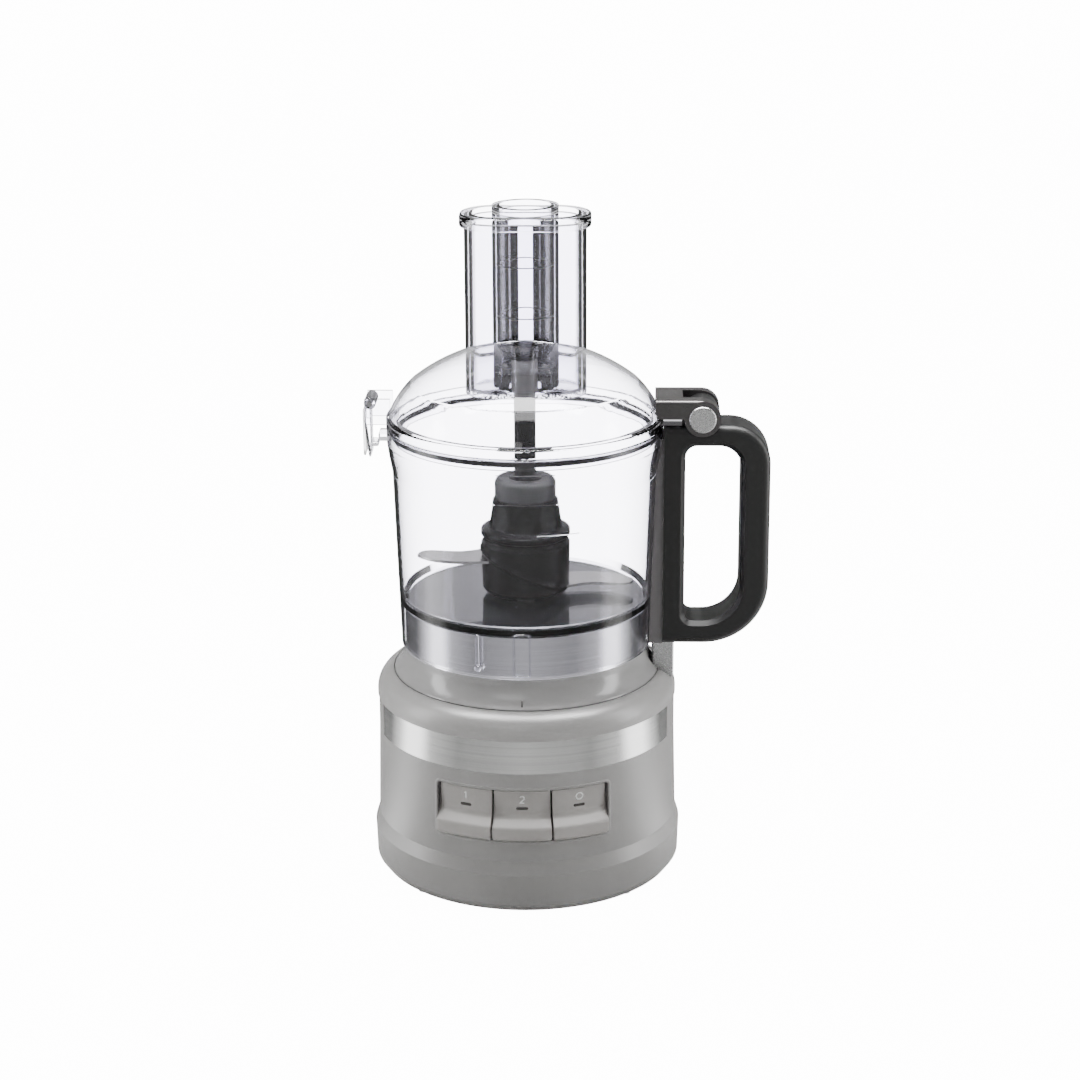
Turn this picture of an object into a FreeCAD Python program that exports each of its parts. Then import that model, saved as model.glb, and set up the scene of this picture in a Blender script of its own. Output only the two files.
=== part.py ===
"""Food processor with a hinged lid, a lift-off bowl and a belt-driven blade.

Frame: origin on the blade axis at the plane of the feet, +Z up, the keys
face -Y and the handle is on +X.  All sizes are in millimetres.
"""
import FreeCAD
import Part
import math
import os

V = FreeCAD.Vector

# ---------------------------------------------------------------- base
BASE_R = 92.2            # widest radius, at the top of the foot band
BODY_R = BASE_R - 3.6  # radius of the upper body, under the trim band
FOOT_HEIGHT = 1.5        # the feet stand this far below the housing
LEDGE_SETBACK = 2.4      # the upper wall's foot is this far inside BASE_R
STEP_Z = 24.8            # top of the foot band
CREASE_Z = 32.8          # top of the sloping ledge above the foot band
BAND_BOTTOM_Z = 87.0
BAND_TOP_Z = 107.0
SHOULDER_TOP_Z = 122.0
NECK_TOP_Z = 138.0
HOUSING_WALL = 2.5
BAND_THICKNESS = 0.8
BAND_HALF_ANGLE = 71.5
SHOULDER_TOP_R = BODY_R - 9.6
SLEEVE_R = SHOULDER_TOP_R - 8.0
SLEEVE_WALL = 1.0
FOOT_PAD_R = 8.0
FOOT_PAD_RING_R = BASE_R - 22.2
SCREW_RING_R = BASE_R - 8.2
SCREW_SHANK_R = 1.8
GLAND_BORE_R = 3.6
GLAND_R = 7.0
GLAND_Z = 17.0

# ---------------------------------------------------------------- keys
KEY_COUNT = 3
KEY_HALF_ANGLE = 11.1    # from a key's centre line to the middle of its gap
KEY_GAP = 1.2            # between neighbouring keys
KEY_BOTTOM_Z = 46.0
KEY_TOP_Z = 76.3
KEY_LIP_R = BASE_R + 0.4  # nose of the finger lip
KEY_MARGIN = 1.1         # from a key to the window it moves in
KEY_PIN_R = 1.2
KEY_PIN_AXIS_R = BODY_R - 8.6  # from the blade axis to the pins the keys hang from
KEY_PIN_Z = KEY_TOP_Z - 4.0
KEY_STEM_Z = 56.0        # where a key meets its switch
KEY_SWITCH_FACE = BODY_R - 19.6  # from the blade axis to the switches' faces
LED_LENGTH = 7.0
LED_HEIGHT = 1.8

# ---------------------------------------------------------------- drive
SPINDLE_R = 5.0
SPINDLE_TOP_Z = 222.0
SPINDLE_FLAT = 4.0       # from the axis to each of the two driving flats
MOTOR_Y = 45.0           # motor axis behind the spindle
MOTOR_R = 34.0
ROTOR_R = 20.6
MOTOR_SHAFT_R = 4.0
LARGE_PULLEY_R = 33.0
SMALL_PULLEY_R = 9.0
BELT_THICKNESS = 1.8
PULLEY_BOTTOM_Z = 11.0
PULLEY_TOP_Z = 23.0
CHASSIS_Z = 28.0
CHASSIS_THICKNESS = 3.0
STATOR_BOTTOM_Z = 50.0
STATOR_TOP_Z = 88.0
BEARING_R = 11.0
BEARING_WIDTH = 8.0

# ---------------------------------------------------------------- bowl
BOWL_FLOOR_Z = 168.0
BOWL_TOP_Z = 271.0
BOWL_SKIRT_Z = 139.0
BOWL_SKIRT_R = SLEEVE_R + 3.0  # outside, at the foot of the skirt
BOWL_MIDDLE_R = BOWL_SKIRT_R + 1.7  # outside, a little above the floor
BOWL_UPPER_R = BOWL_SKIRT_R + 3.5  # outside, under the flared rim
BOWL_RIM_R = BOWL_SKIRT_R + 6.5  # outside, at the flared rim
BOWL_WALL = 2.2
BOWL_FLOOR = 3.0
CHIMNEY_R = 11.5
CHIMNEY_TOP_Z = 198.0

# ---------------------------------------------------------------- handle
HINGE_X = BOWL_RIM_R + 22.5
HINGE_Z = BOWL_TOP_Z + 7.0
HINGE_PIN_R = 3.0
HINGE_BOSS_R = 10.5
HINGE_CAP_R = 7.9
KNUCKLE_HALF_WIDTH = 7.9
ARM_HALF_WIDTH = 17.0
ARM_TOP_Z = HINGE_Z + 11.0
GRIP_INNER_X = BOWL_RIM_R + 0.5
GRIP_OUTER_X = GRIP_INNER_X + 62.0
GRIP_BOTTOM_Z = BOWL_SKIRT_Z + 1.0
GRIP_TOP_Z = BOWL_TOP_Z + 2.5
GRIP_HALF_WIDTH = 15.0
GRIP_COLUMN = 12.5       # thickness of the column next to the bowl
GRIP_BAR = 17.0          # thickness of the bar that the fingers hold
HANDLE_FOOT_Z = 118.0
HANDLE_FOOT_X = GRIP_INNER_X + 7.0
HANDLE_FOOT_HALF_WIDTH = 9.0
ROD_X = GRIP_INNER_X + 2.6  # from the blade axis to the rod that the lid pushes
ROD_R = 1.6
PLUNGER_R = 1.5          # pin of the lid switch, under the rod
SPRING_R = 2.4           # mean radius of the rod's return spring
SPRING_WIRE_R = 0.4
ROD_COLLAR_Z = GRIP_TOP_Z - 27.5
SPRING_FLOOR_Z = ROD_COLLAR_Z - 24.0
HANDLE_SCREW_Z = (GRIP_BOTTOM_Z + 22.0, GRIP_BOTTOM_Z + 68.0, GRIP_TOP_Z - 23.5)

# ---------------------------------------------------------------- lid
LID_RIM_R = BOWL_RIM_R + 0.1
LID_RIM_HEIGHT = 5.7
LID_WALL = 2.4
LID_TOP_Z = BOWL_TOP_Z + 48.0
TUBE_CENTRE_Y = 30.2     # puts the tube's front wall just behind the hub
TUBE_HALF_WIDTH = 35.7
TUBE_HALF_DEPTH = 22.0
TUBE_CORNER_R = 19.0
TUBE_WALL = 2.2
TUBE_BOTTOM_Z = BOWL_TOP_Z + 12.0
TUBE_TOP_Z = LID_TOP_Z + 66.7
FLANGE_OVERHANG = 2.8
FLANGE_HEIGHT = 3.7
HUB_R = 7.8
HUB_BOTTOM_Z = BOWL_TOP_Z + 19.0
BUSH_R = 6.3
BUSH_BOTTOM_Z = HUB_BOTTOM_Z - 3.0
BUSH_TOP_Z = LID_TOP_Z - 10.0

# ---------------------------------------------------------------- pushers
PUSHER_WALL = 2.0
SMALL_PUSHER_Y = TUBE_CENTRE_Y
SMALL_PUSHER_R = 16.8
SMALL_PUSHER_RING_R = 19.5
SMALL_PUSHER_TOP_Z = TUBE_TOP_Z + 8.3

# ---------------------------------------------------------------- latch
LATCH_X = -BOWL_RIM_R - 9.0
LATCH_Z = BOWL_TOP_Z + 14.0
LATCH_HALF_WIDTH = 9.0
LATCH_BOTTOM_Z = BOWL_TOP_Z - 18.5
LATCH_PIN_R = 1.5

# ---------------------------------------------------------------- blade
SHAFT_R = 6.3
BLADE_TIP_R = BOWL_SKIRT_R - 8.0
BLADE_THICKNESS = 1.6
BLADE_CHORD = 30.0
UPPER_BLADE_Z = 190.0
LOWER_BLADE_Z = 173.5
BLADE_HUB_R = 26.4
BLADE_HUB_BOTTOM_Z = 170.5
BLADE_HUB_TOP_Z = 226.0
BLADE_CAP_R = 18.0
BLADE_CAP_TOP_Z = 239.0
ADAPTER_R = 9.5
HUB_BORE_R = CHIMNEY_R + 1.5

# ---------------------------------------------------------------- fits
RUNNING = 0.05           # radial gap of a shaft in its bearing or bore
PART_GAP = 0.3           # gap between pieces that move past each other
SLIDING_GAP = 0.65       # gap round a pusher in its tube
SKIRT_GAP = 0.4          # sideways gap of the handle foot in its notch


# ---------------------------------------------------------------- helpers
def save(node, shape):
    """Write one node as parts/NODE.step."""
    shape.exportStep("parts/%s.step" % node)
    return shape


def cylinder(radius, z0, z1, x=0.0, y=0.0):
    return Part.makeCylinder(radius, z1 - z0, V(x, y, z0))


def tube(outer, inner, z0, z1, x=0.0, y=0.0):
    return cylinder(outer, z0, z1, x, y).cut(cylinder(inner, z0 - 1, z1 + 1, x, y))


def cross_cylinder(radius, x, z, y0, y1):
    """A cylinder whose axis is parallel to Y."""
    return Part.makeCylinder(radius, y1 - y0, V(x, y0, z), V(0, 1, 0))


def box(x0, x1, y0, y1, z0, z1):
    return Part.makeBox(x1 - x0, y1 - y0, z1 - z0, V(x0, y0, z0))


def turned(points):
    """Revolve a closed outline of (radius, z) points about the Z axis."""
    corners = [V(r, 0, z) for r, z in points]
    face = Part.Face(Part.makePolygon(corners + corners[:1]))
    return face.revolve(V(0, 0, 0), V(0, 0, 1), 360)


def turned_edges(edges):
    """Revolve a closed outline of lines and arcs about the Z axis."""
    face = Part.Face(Part.Wire(Part.__sortEdges__(edges)))
    return face.revolve(V(0, 0, 0), V(0, 0, 1), 360)


def line(r0, z0, r1, z1):
    return Part.LineSegment(V(r0, 0, z0), V(r1, 0, z1)).toShape()


def arc(r0, z0, rm, zm, r1, z1):
    return Part.Arc(V(r0, 0, z0), V(rm, 0, zm), V(r1, 0, z1)).toShape()


def at_azimuth(shape, degrees):
    """Turn a shape built at the front (-Y) round to an azimuth, + towards +X."""
    turned_copy = shape.copy()
    turned_copy.rotate(V(0, 0, 0), V(0, 0, 1), degrees)
    return turned_copy


def sector(half_angle, r_in, r_out, z0, z1):
    """A block between two radii that spans half_angle each side of the front."""
    reach = r_out / math.cos(math.radians(min(half_angle, 80.0)))
    angle = math.radians(half_angle)
    corners = [V(0, 0, z0), V(reach * math.sin(angle), -reach * math.cos(angle), z0)]
    if half_angle > 60.0:
        side = math.radians(half_angle / 2)
        wide = reach * 1.3
        corners += [V(wide * math.sin(side), -wide * math.cos(side), z0)]
        corners += [V(-wide * math.sin(side), -wide * math.cos(side), z0)]
    corners += [V(-reach * math.sin(angle), -reach * math.cos(angle), z0)]
    pie = Part.Face(Part.makePolygon(corners + corners[:1])).extrude(V(0, 0, z1 - z0))
    return pie.common(tube(r_out, r_in, z0, z1))


def fuse(first, *others):
    return first.multiFuse(list(others)).removeSplitter()


def cut(first, *others):
    shape = first
    for other in others:
        shape = shape.cut(other)
    return shape


def group(shapes):
    """Separate solids that share one node."""
    return Part.makeCompound(shapes)


def ring_of(shape, azimuths):
    return [at_azimuth(shape, a) for a in azimuths]


def arc_offset(gap, radius):
    """Degrees that a gap of the given width takes at a radius."""
    return math.degrees(gap / radius)


def vertical_edges(shape, wanted):
    """Edges parallel to Z whose middle passes the wanted test."""
    chosen = []
    for edge in shape.Edges:
        if len(edge.Vertexes) != 2:
            continue
        a, b = edge.Vertexes[0].Point, edge.Vertexes[1].Point
        if abs(a.x - b.x) < 1e-4 and abs(a.y - b.y) < 1e-4 and wanted(a):
            chosen.append(edge)
    return chosen


# ---------------------------------------------------------------- base body
def housing_radius(z):
    """Outer radius of the housing on its upper, slightly tapered wall."""
    share = (z - CREASE_Z) / (BAND_BOTTOM_Z - CREASE_Z)
    low_r = BASE_R - LEDGE_SETBACK
    return low_r - (low_r - BODY_R) * min(max(share, 0.0), 1.0)


def housing_outline(inset, z_bottom, z_top):
    """Half section of the housing's outside, moved inwards by inset."""
    return [
        (BASE_R - 4.0 - inset, z_bottom),
        (BASE_R - 0.6 - inset, FOOT_HEIGHT + 4.5),
        (BASE_R - inset, STEP_Z),
        (housing_radius(CREASE_Z) - inset, CREASE_Z),
        (BODY_R - inset, BAND_BOTTOM_Z),
        (BODY_R - inset, z_top),
        (0, z_top),
        (0, z_bottom),
    ]


def key_window(margin, r_in, r_out):
    """The space that the row of keys takes up, grown by a margin."""
    half = KEY_COUNT * KEY_HALF_ANGLE + arc_offset(margin, BODY_R)
    return sector(half, r_in, r_out, KEY_BOTTOM_Z - margin, KEY_TOP_Z + margin)


def foot_places():
    """Azimuths of the feet and of the screws beside them."""
    return [45, 135, 225, 315]


def base_housing():
    """The moulded body, with the window for the keys and posts for the screws."""
    outside = turned(housing_outline(0, FOOT_HEIGHT, BAND_TOP_Z))
    inside = turned(housing_outline(HOUSING_WALL, FOOT_HEIGHT - 1, BAND_TOP_Z + 1))
    band_space = sector(BAND_HALF_ANGLE, BODY_R - BAND_THICKNESS, BODY_R + 5,
                        BAND_BOTTOM_Z, BAND_TOP_Z)
    posts = []
    for azimuth in foot_places():
        post = cylinder(5.0, FOOT_HEIGHT + 3.0, STEP_Z, 0, -SCREW_RING_R)
        hole = cylinder(SCREW_SHANK_R, FOOT_HEIGHT, STEP_Z - 6, 0, -SCREW_RING_R)
        posts.append(at_azimuth(post.cut(hole), azimuth))
    shell = outside.cut(inside)
    shell = cut(shell, band_space, key_window(KEY_MARGIN, BODY_R - 12, BODY_R + 12))
    posts = [post.common(outside) for post in posts]
    shell = fuse(shell, *posts)
    gland_hole = Part.makeCylinder(GLAND_R - 1.5, 40, V(0, FOOT_PAD_RING_R, GLAND_Z), V(0, 1, 0))
    return save("base_housing", shell.cut(gland_hole))


def trim_band():
    """Plain metal band round the front, let into the housing."""
    band = sector(BAND_HALF_ANGLE, BODY_R - BAND_THICKNESS, BODY_R,
                  BAND_BOTTOM_Z, BAND_TOP_Z)
    return save("trim_band", band)


def key_bezel():
    """The frame behind the housing wall that the keys sit in."""
    half = KEY_COUNT * KEY_HALF_ANGLE + 6.0
    outer_r = housing_radius(KEY_TOP_Z) - HOUSING_WALL - 0.1
    frame = sector(half, outer_r - 5.0, outer_r, KEY_BOTTOM_Z - 5, KEY_TOP_Z + 5)
    window = key_window(KEY_MARGIN, outer_r - 12, outer_r + 5)
    return save("key_bezel", frame.cut(window))


def base_plate():
    """Floor of the base, with cooling slots and seats for the feet."""
    plate_r = BASE_R - 4.0 - HOUSING_WALL - PART_GAP
    plate = cylinder(plate_r, FOOT_HEIGHT, FOOT_HEIGHT + 2.5)
    rim = tube(plate_r, plate_r - 2, FOOT_HEIGHT, FOOT_HEIGHT + 5)
    shape = fuse(plate, rim)
    pads = [cylinder(FOOT_PAD_R, FOOT_HEIGHT - 1, FOOT_HEIGHT + 1.5, 0, -FOOT_PAD_RING_R)]
    holes = [cylinder(SCREW_SHANK_R, -1, 20, 0, -SCREW_RING_R)]
    clear = [cylinder(5.2, FOOT_HEIGHT + 2.5, 20, 0, -SCREW_RING_R)]
    slots = [box(-20 + 8 * i, -16 + 8 * i, 30, 58, 0, 10) for i in range(6)]
    cuts = [at_azimuth(s, a) for s in pads + holes + clear for a in foot_places()]
    return save("base_plate", cut(shape, *(cuts + slots)))


def rubber_feet():
    foot = cylinder(FOOT_PAD_R, 0.0, FOOT_HEIGHT + 1.5, 0, -FOOT_PAD_RING_R)
    return save("rubber_feet", group(ring_of(foot, foot_places())))


def base_screws():
    head = cylinder(3.2, FOOT_HEIGHT - 1.2, FOOT_HEIGHT, 0, -SCREW_RING_R)
    shank = cylinder(SCREW_SHANK_R, FOOT_HEIGHT, STEP_Z - 6, 0, -SCREW_RING_R)
    return save("base_screws", group(ring_of(fuse(head, shank), foot_places())))


def cord_gland():
    """A rubber bush at the back, with a flange on each side of the wall."""
    y_wall = BASE_R - HOUSING_WALL
    bush = fuse(
        Part.makeCylinder(GLAND_R - 1.5, 12, V(0, y_wall - 5, GLAND_Z), V(0, 1, 0)),
        Part.makeCylinder(GLAND_R, 3, V(0, BASE_R + 0.1, GLAND_Z), V(0, 1, 0)),
        Part.makeCylinder(GLAND_R, 3, V(0, y_wall - 5.4, GLAND_Z), V(0, 1, 0)))
    bore = Part.makeCylinder(GLAND_BORE_R, 40, V(0, FOOT_PAD_RING_R, GLAND_Z), V(0, 1, 0))
    return save("cord_gland", bush.cut(bore))


def foot_notch(gap, z_bottom):
    """The space that the handle's foot needs beside the neck."""
    half = HANDLE_FOOT_HALF_WIDTH + gap
    return box(GRIP_INNER_X - 8.0, HANDLE_FOOT_X + gap, -half, half, z_bottom, NECK_TOP_Z + 9)


def shoulder_cover():
    """Rounded shoulder of the base, with a pocket for the handle's foot."""
    low_r, high_r, w = BODY_R + 0.6, SHOULDER_TOP_R, HOUSING_WALL
    height = SHOULDER_TOP_Z - BAND_TOP_Z
    outside = [
        line(low_r, BAND_TOP_Z, low_r, BAND_TOP_Z + 1.5),
        arc(low_r, BAND_TOP_Z + 1.5, low_r - 2.6, BAND_TOP_Z + 0.68 * height,
            high_r, SHOULDER_TOP_Z),
    ]
    skin = turned_edges(outside + [
        line(high_r, SHOULDER_TOP_Z, SLEEVE_R - 10, SHOULDER_TOP_Z),
        line(SLEEVE_R - 10, SHOULDER_TOP_Z, SLEEVE_R - 10, SHOULDER_TOP_Z - w),
        line(SLEEVE_R - 10, SHOULDER_TOP_Z - w, high_r - 1.5, SHOULDER_TOP_Z - w),
        arc(high_r - 1.5, SHOULDER_TOP_Z - w, low_r - 2.6 - w, BAND_TOP_Z + 0.58 * height,
            low_r - w - 0.6, BAND_TOP_Z),
        line(low_r - w - 0.6, BAND_TOP_Z, low_r, BAND_TOP_Z),
    ])
    lip = fuse(tube(BODY_R - w - 0.1, BODY_R - 2 * w, BAND_TOP_Z - 4, BAND_TOP_Z + 1),
               tube(BODY_R - 0.8, BODY_R - 2 * w, BAND_TOP_Z, BAND_TOP_Z + 2.5))
    wall = 2.2
    half = HANDLE_FOOT_HALF_WIDTH + SKIRT_GAP + wall
    floor_z = HANDLE_FOOT_Z - 1.0
    pocket = box(GRIP_INNER_X - 8 - wall, HANDLE_FOOT_X - 3.0, -half, half,
                 floor_z - wall, SHOULDER_TOP_Z)
    envelope = turned_edges(outside + [
        line(0, BAND_TOP_Z, low_r, BAND_TOP_Z),
        line(high_r, SHOULDER_TOP_Z, 0, SHOULDER_TOP_Z),
        line(0, SHOULDER_TOP_Z, 0, BAND_TOP_Z),
    ])
    shape = fuse(skin, lip, pocket.common(envelope))
    plunger_hole = cylinder(PLUNGER_R + 0.4, BAND_TOP_Z - 6, floor_z + 10, ROD_X, 0)
    return save("shoulder_cover", cut(shape, foot_notch(SKIRT_GAP, floor_z), plunger_hole))


def neck_collar():
    """Flared ring from the shoulder up to the metal sleeve."""
    top_r = SLEEVE_R + 1.0
    shape = turned_edges([
        line(SHOULDER_TOP_R, SHOULDER_TOP_Z, SHOULDER_TOP_R - 0.6, SHOULDER_TOP_Z + 1.0),
        arc(SHOULDER_TOP_R - 0.6, SHOULDER_TOP_Z + 1.0, top_r + 2.2, SHOULDER_TOP_Z + 6.5,
            top_r, NECK_TOP_Z),
        line(top_r, NECK_TOP_Z, SLEEVE_R - 2.4, NECK_TOP_Z),
        line(SLEEVE_R - 2.4, NECK_TOP_Z, SLEEVE_R - 2.4, SHOULDER_TOP_Z),
        line(SLEEVE_R - 2.4, SHOULDER_TOP_Z, SHOULDER_TOP_R, SHOULDER_TOP_Z),
    ])
    return save("neck_collar", shape.cut(foot_notch(SKIRT_GAP, SHOULDER_TOP_Z - 5)))


def pedestal():
    """The metal sleeve under the bowl and the plastic core that carries it."""
    top_z = BOWL_FLOOR_Z - BOWL_FLOOR - 1.5
    sleeve = tube(SLEEVE_R, SLEEVE_R - SLEEVE_WALL, NECK_TOP_Z, top_z)
    core_r = SLEEVE_R - SLEEVE_WALL
    neck_r = SLEEVE_R - 2.4 - 0.1
    core = fuse(
        tube(core_r, core_r - 3, NECK_TOP_Z, top_z),
        tube(neck_r, core_r - 3, SHOULDER_TOP_Z, NECK_TOP_Z + 1),
        cylinder(core_r, top_z - 3, top_z),
        cylinder(BEARING_R + 3, top_z - 14, top_z),
        *[at_azimuth(box(-1, 1, BEARING_R + 1, core_r - 2, top_z - 12, top_z - 2), a)
          for a in range(0, 360, 45)])
    core = cut(core, cylinder(BEARING_R, top_z - 15, top_z - 3),
               cylinder(BEARING_R - 2, top_z - 5, top_z + 1))
    save("pedestal_sleeve", sleeve)
    save("pedestal_core", core)
    seal = fuse(tube(BEARING_R - 2, SPINDLE_R + RUNNING, top_z - 3, top_z),
                tube(SPINDLE_R + 1.6, SPINDLE_R + RUNNING, top_z, top_z + 1.0))
    save("spindle_seal", seal)
    return top_z


def motor_posts(z_low):
    """Four posts round the fan that carry the motor's lower end frame."""
    ring = MOTOR_R - 2.8
    angles = [math.radians(a) for a in foot_places()]
    return [cylinder(2.3, z_low, STATOR_BOTTOM_Z - 7, ring * math.cos(a), MOTOR_Y + ring * math.sin(a))
            for a in angles]


def motor_frame(top_z):
    """Chassis, motor, bearings and belt: everything fixed round the drive."""
    deck_z = CHASSIS_Z + CHASSIS_THICKNESS
    leg = cylinder(5, FOOT_HEIGHT + 2.5, CHASSIS_Z + 1, 0, -60)
    chassis = fuse(
        cylinder(74, CHASSIS_Z, deck_z),
        cylinder(BEARING_R + 2.5, CHASSIS_Z - 1, deck_z + 5),
        *ring_of(leg, (40, 110, 250, 320)),
        *motor_posts(deck_z - 1))
    chassis = cut(chassis, cylinder(BEARING_R, CHASSIS_Z - 2, deck_z + 6),
                  cylinder(MOTOR_SHAFT_R + 3, CHASSIS_Z - 2, deck_z + 6, 0, MOTOR_Y))
    save("motor_chassis", chassis)
    lower = CHASSIS_Z - 1
    upper = top_z - 3 - BEARING_WIDTH
    rings = [tube(BEARING_R, SPINDLE_R + RUNNING, z, z + BEARING_WIDTH) for z in (lower, upper)]
    save("spindle_bearings", group(rings))

    stack = tube(MOTOR_R, ROTOR_R + 0.8, STATOR_BOTTOM_Z, STATOR_TOP_Z, 0, MOTOR_Y)
    save("motor_stator", stack)
    coil_r = MOTOR_R - 4
    coils = [tube(coil_r, ROTOR_R + 2.5, z, z + 4, 0, MOTOR_Y)
             for z in (STATOR_BOTTOM_Z - 4, STATOR_TOP_Z)]
    save("field_coils", group(coils))

    hole_r = MOTOR_SHAFT_R + RUNNING
    low_frame = fuse(cylinder(MOTOR_R, STATOR_BOTTOM_Z - 7, STATOR_BOTTOM_Z - 4, 0, MOTOR_Y),
                     tube(MOTOR_R, coil_r + 0.3, STATOR_BOTTOM_Z - 5, STATOR_BOTTOM_Z, 0, MOTOR_Y))
    high_z = BAND_TOP_Z - 2
    bridge = box(-MOTOR_R + 5, MOTOR_R - 5, MOTOR_Y - 8, MOTOR_Y + 8, high_z, high_z + 3)
    high_frame = fuse(bridge, *[
        box(side * 27 - 2, side * 27 + 2, MOTOR_Y - 8, MOTOR_Y + 8, STATOR_TOP_Z + 4, high_z + 1)
        for side in (-1, 1)])
    bore = cylinder(hole_r, 0, 150, 0, MOTOR_Y)
    save("motor_end_frames", group([low_frame.cut(bore), high_frame.cut(bore)]))

    brush_z = STATOR_TOP_Z + 6
    brushes, holders = [], []
    for side in (-1, 1):
        inner, outer = sorted((side * (10.0 + PART_GAP), side * 20.0))
        brushes.append(box(inner, outer, MOTOR_Y - 2.5, MOTOR_Y + 2.5, brush_z + 2, brush_z + 8))
        inner, outer = sorted((side * 13.0, side * 25.0))
        holder = box(inner, outer, MOTOR_Y - 4, MOTOR_Y + 4, brush_z, brush_z + 10)
        holders.append(holder.cut(brushes[-1]))
    save("brush_gear", group(brushes + holders))


def belt_loop(grow, z0, z1):
    """The solid inside a belt line that runs round both pulleys."""
    large, small = LARGE_PULLEY_R + grow, SMALL_PULLEY_R + grow
    lean = math.acos((LARGE_PULLEY_R - SMALL_PULLEY_R) / MOTOR_Y)
    sx, sy = math.sin(lean), math.cos(lean)
    corners = [V(large * sx, large * sy, z0), V(small * sx, MOTOR_Y + small * sy, z0),
               V(-small * sx, MOTOR_Y + small * sy, z0), V(-large * sx, large * sy, z0)]
    middle = Part.Face(Part.makePolygon(corners + corners[:1])).extrude(V(0, 0, z1 - z0))
    return fuse(cylinder(large, z0, z1), cylinder(small, z0, z1, 0, MOTOR_Y), middle)


def drive_belt():
    """Belt round both pulleys, clear of them by the part gap."""
    z0, z1 = PULLEY_BOTTOM_Z + 2, PULLEY_TOP_Z - 2
    outer = belt_loop(PART_GAP + BELT_THICKNESS, z0, z1)
    return save("drive_belt", outer.cut(belt_loop(PART_GAP, z0 - 1, z1 + 1)))


def controls():
    """Circuit board, key switches, key pins and the lid interlock switch."""
    board_y = 11.0 - KEY_SWITCH_FACE
    save("control_board", box(-36, 36, board_y, board_y + 1.6, KEY_BOTTOM_Z - 4, KEY_TOP_Z + 2))
    switches = []
    for azimuth in key_azimuths():
        lean = math.radians(abs(azimuth))
        near = -board_y / math.cos(lean) + 4.2 * math.tan(lean)
        body = box(-4, 4, -KEY_SWITCH_FACE, -near, KEY_STEM_Z - 4, KEY_STEM_Z + 4)
        stem = Part.makeCylinder(1.5, 2.0, V(0, -KEY_SWITCH_FACE, KEY_STEM_Z), V(0, -1, 0))
        switches.append(at_azimuth(fuse(body, stem), azimuth))
    save("tact_switches", group(switches))
    pins = []
    for azimuth in key_azimuths():
        half = key_half_width(KEY_PIN_AXIS_R) - 0.4
        pin = Part.makeCylinder(KEY_PIN_R, 2 * half, V(-half, -KEY_PIN_AXIS_R, KEY_PIN_Z), V(1, 0, 0))
        pins.append(at_azimuth(pin, azimuth))
    save("key_pins", group(pins))
    switch_top = BAND_TOP_Z - 6.5
    block = box(ROD_X - 10, ROD_X - 2, -7, 7, switch_top - 9, switch_top)
    lever = box(ROD_X - 10, ROD_X + PLUNGER_R, -2.2, 2.2, switch_top - 3, switch_top)
    plunger = cylinder(PLUNGER_R, switch_top - 3, HANDLE_FOOT_Z - PART_GAP, ROD_X, 0)
    save("interlock_switch", fuse(block, lever, plunger))



def key_azimuths():
    step = 2 * KEY_HALF_ANGLE
    return [step * (i - (KEY_COUNT - 1) / 2) for i in range(KEY_COUNT)]


def key_half_width(radius):
    """Half the width of a key at a radius, clear of the gap beside it."""
    return radius * math.sin(math.radians(KEY_HALF_ANGLE)) - KEY_GAP / 2


# ---------------------------------------------------------------- spindle body
def spindle():
    """The upright shaft that drives the blade, and its pulley."""
    shaft = cylinder(SPINDLE_R, PULLEY_BOTTOM_Z - 3, SPINDLE_TOP_Z)
    flats = [box(s * (SPINDLE_FLAT + 5) - 5, s * (SPINDLE_FLAT + 5) + 5, -9, 9,
                 CHIMNEY_TOP_Z - 6, SPINDLE_TOP_Z + 1) for s in (-1, 1)]
    save("drive_spindle", cut(shaft, *flats))
    rim = tube(LARGE_PULLEY_R, LARGE_PULLEY_R - 4, PULLEY_BOTTOM_Z, PULLEY_TOP_Z)
    web = cylinder(LARGE_PULLEY_R - 2, PULLEY_BOTTOM_Z + 4, PULLEY_TOP_Z - 4)
    hub = cylinder(10, PULLEY_BOTTOM_Z, PULLEY_TOP_Z)
    flanges = [tube(LARGE_PULLEY_R + 1.5, LARGE_PULLEY_R - 2, z, z + 1)
               for z in (PULLEY_BOTTOM_Z, PULLEY_TOP_Z - 1)]
    holes = [at_azimuth(cylinder(5, 0, 40, 0, -19), a) for a in range(0, 360, 60)]
    pulley = cut(fuse(rim, web, hub, *flanges), cylinder(SPINDLE_R, 0, 60), *holes)
    save("spindle_pulley", pulley)
    ring_z = CHASSIS_Z + BEARING_WIDTH + 0.2
    save("retaining_ring", tube(SPINDLE_R + 3, SPINDLE_R, ring_z, ring_z + 1.4))


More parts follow.
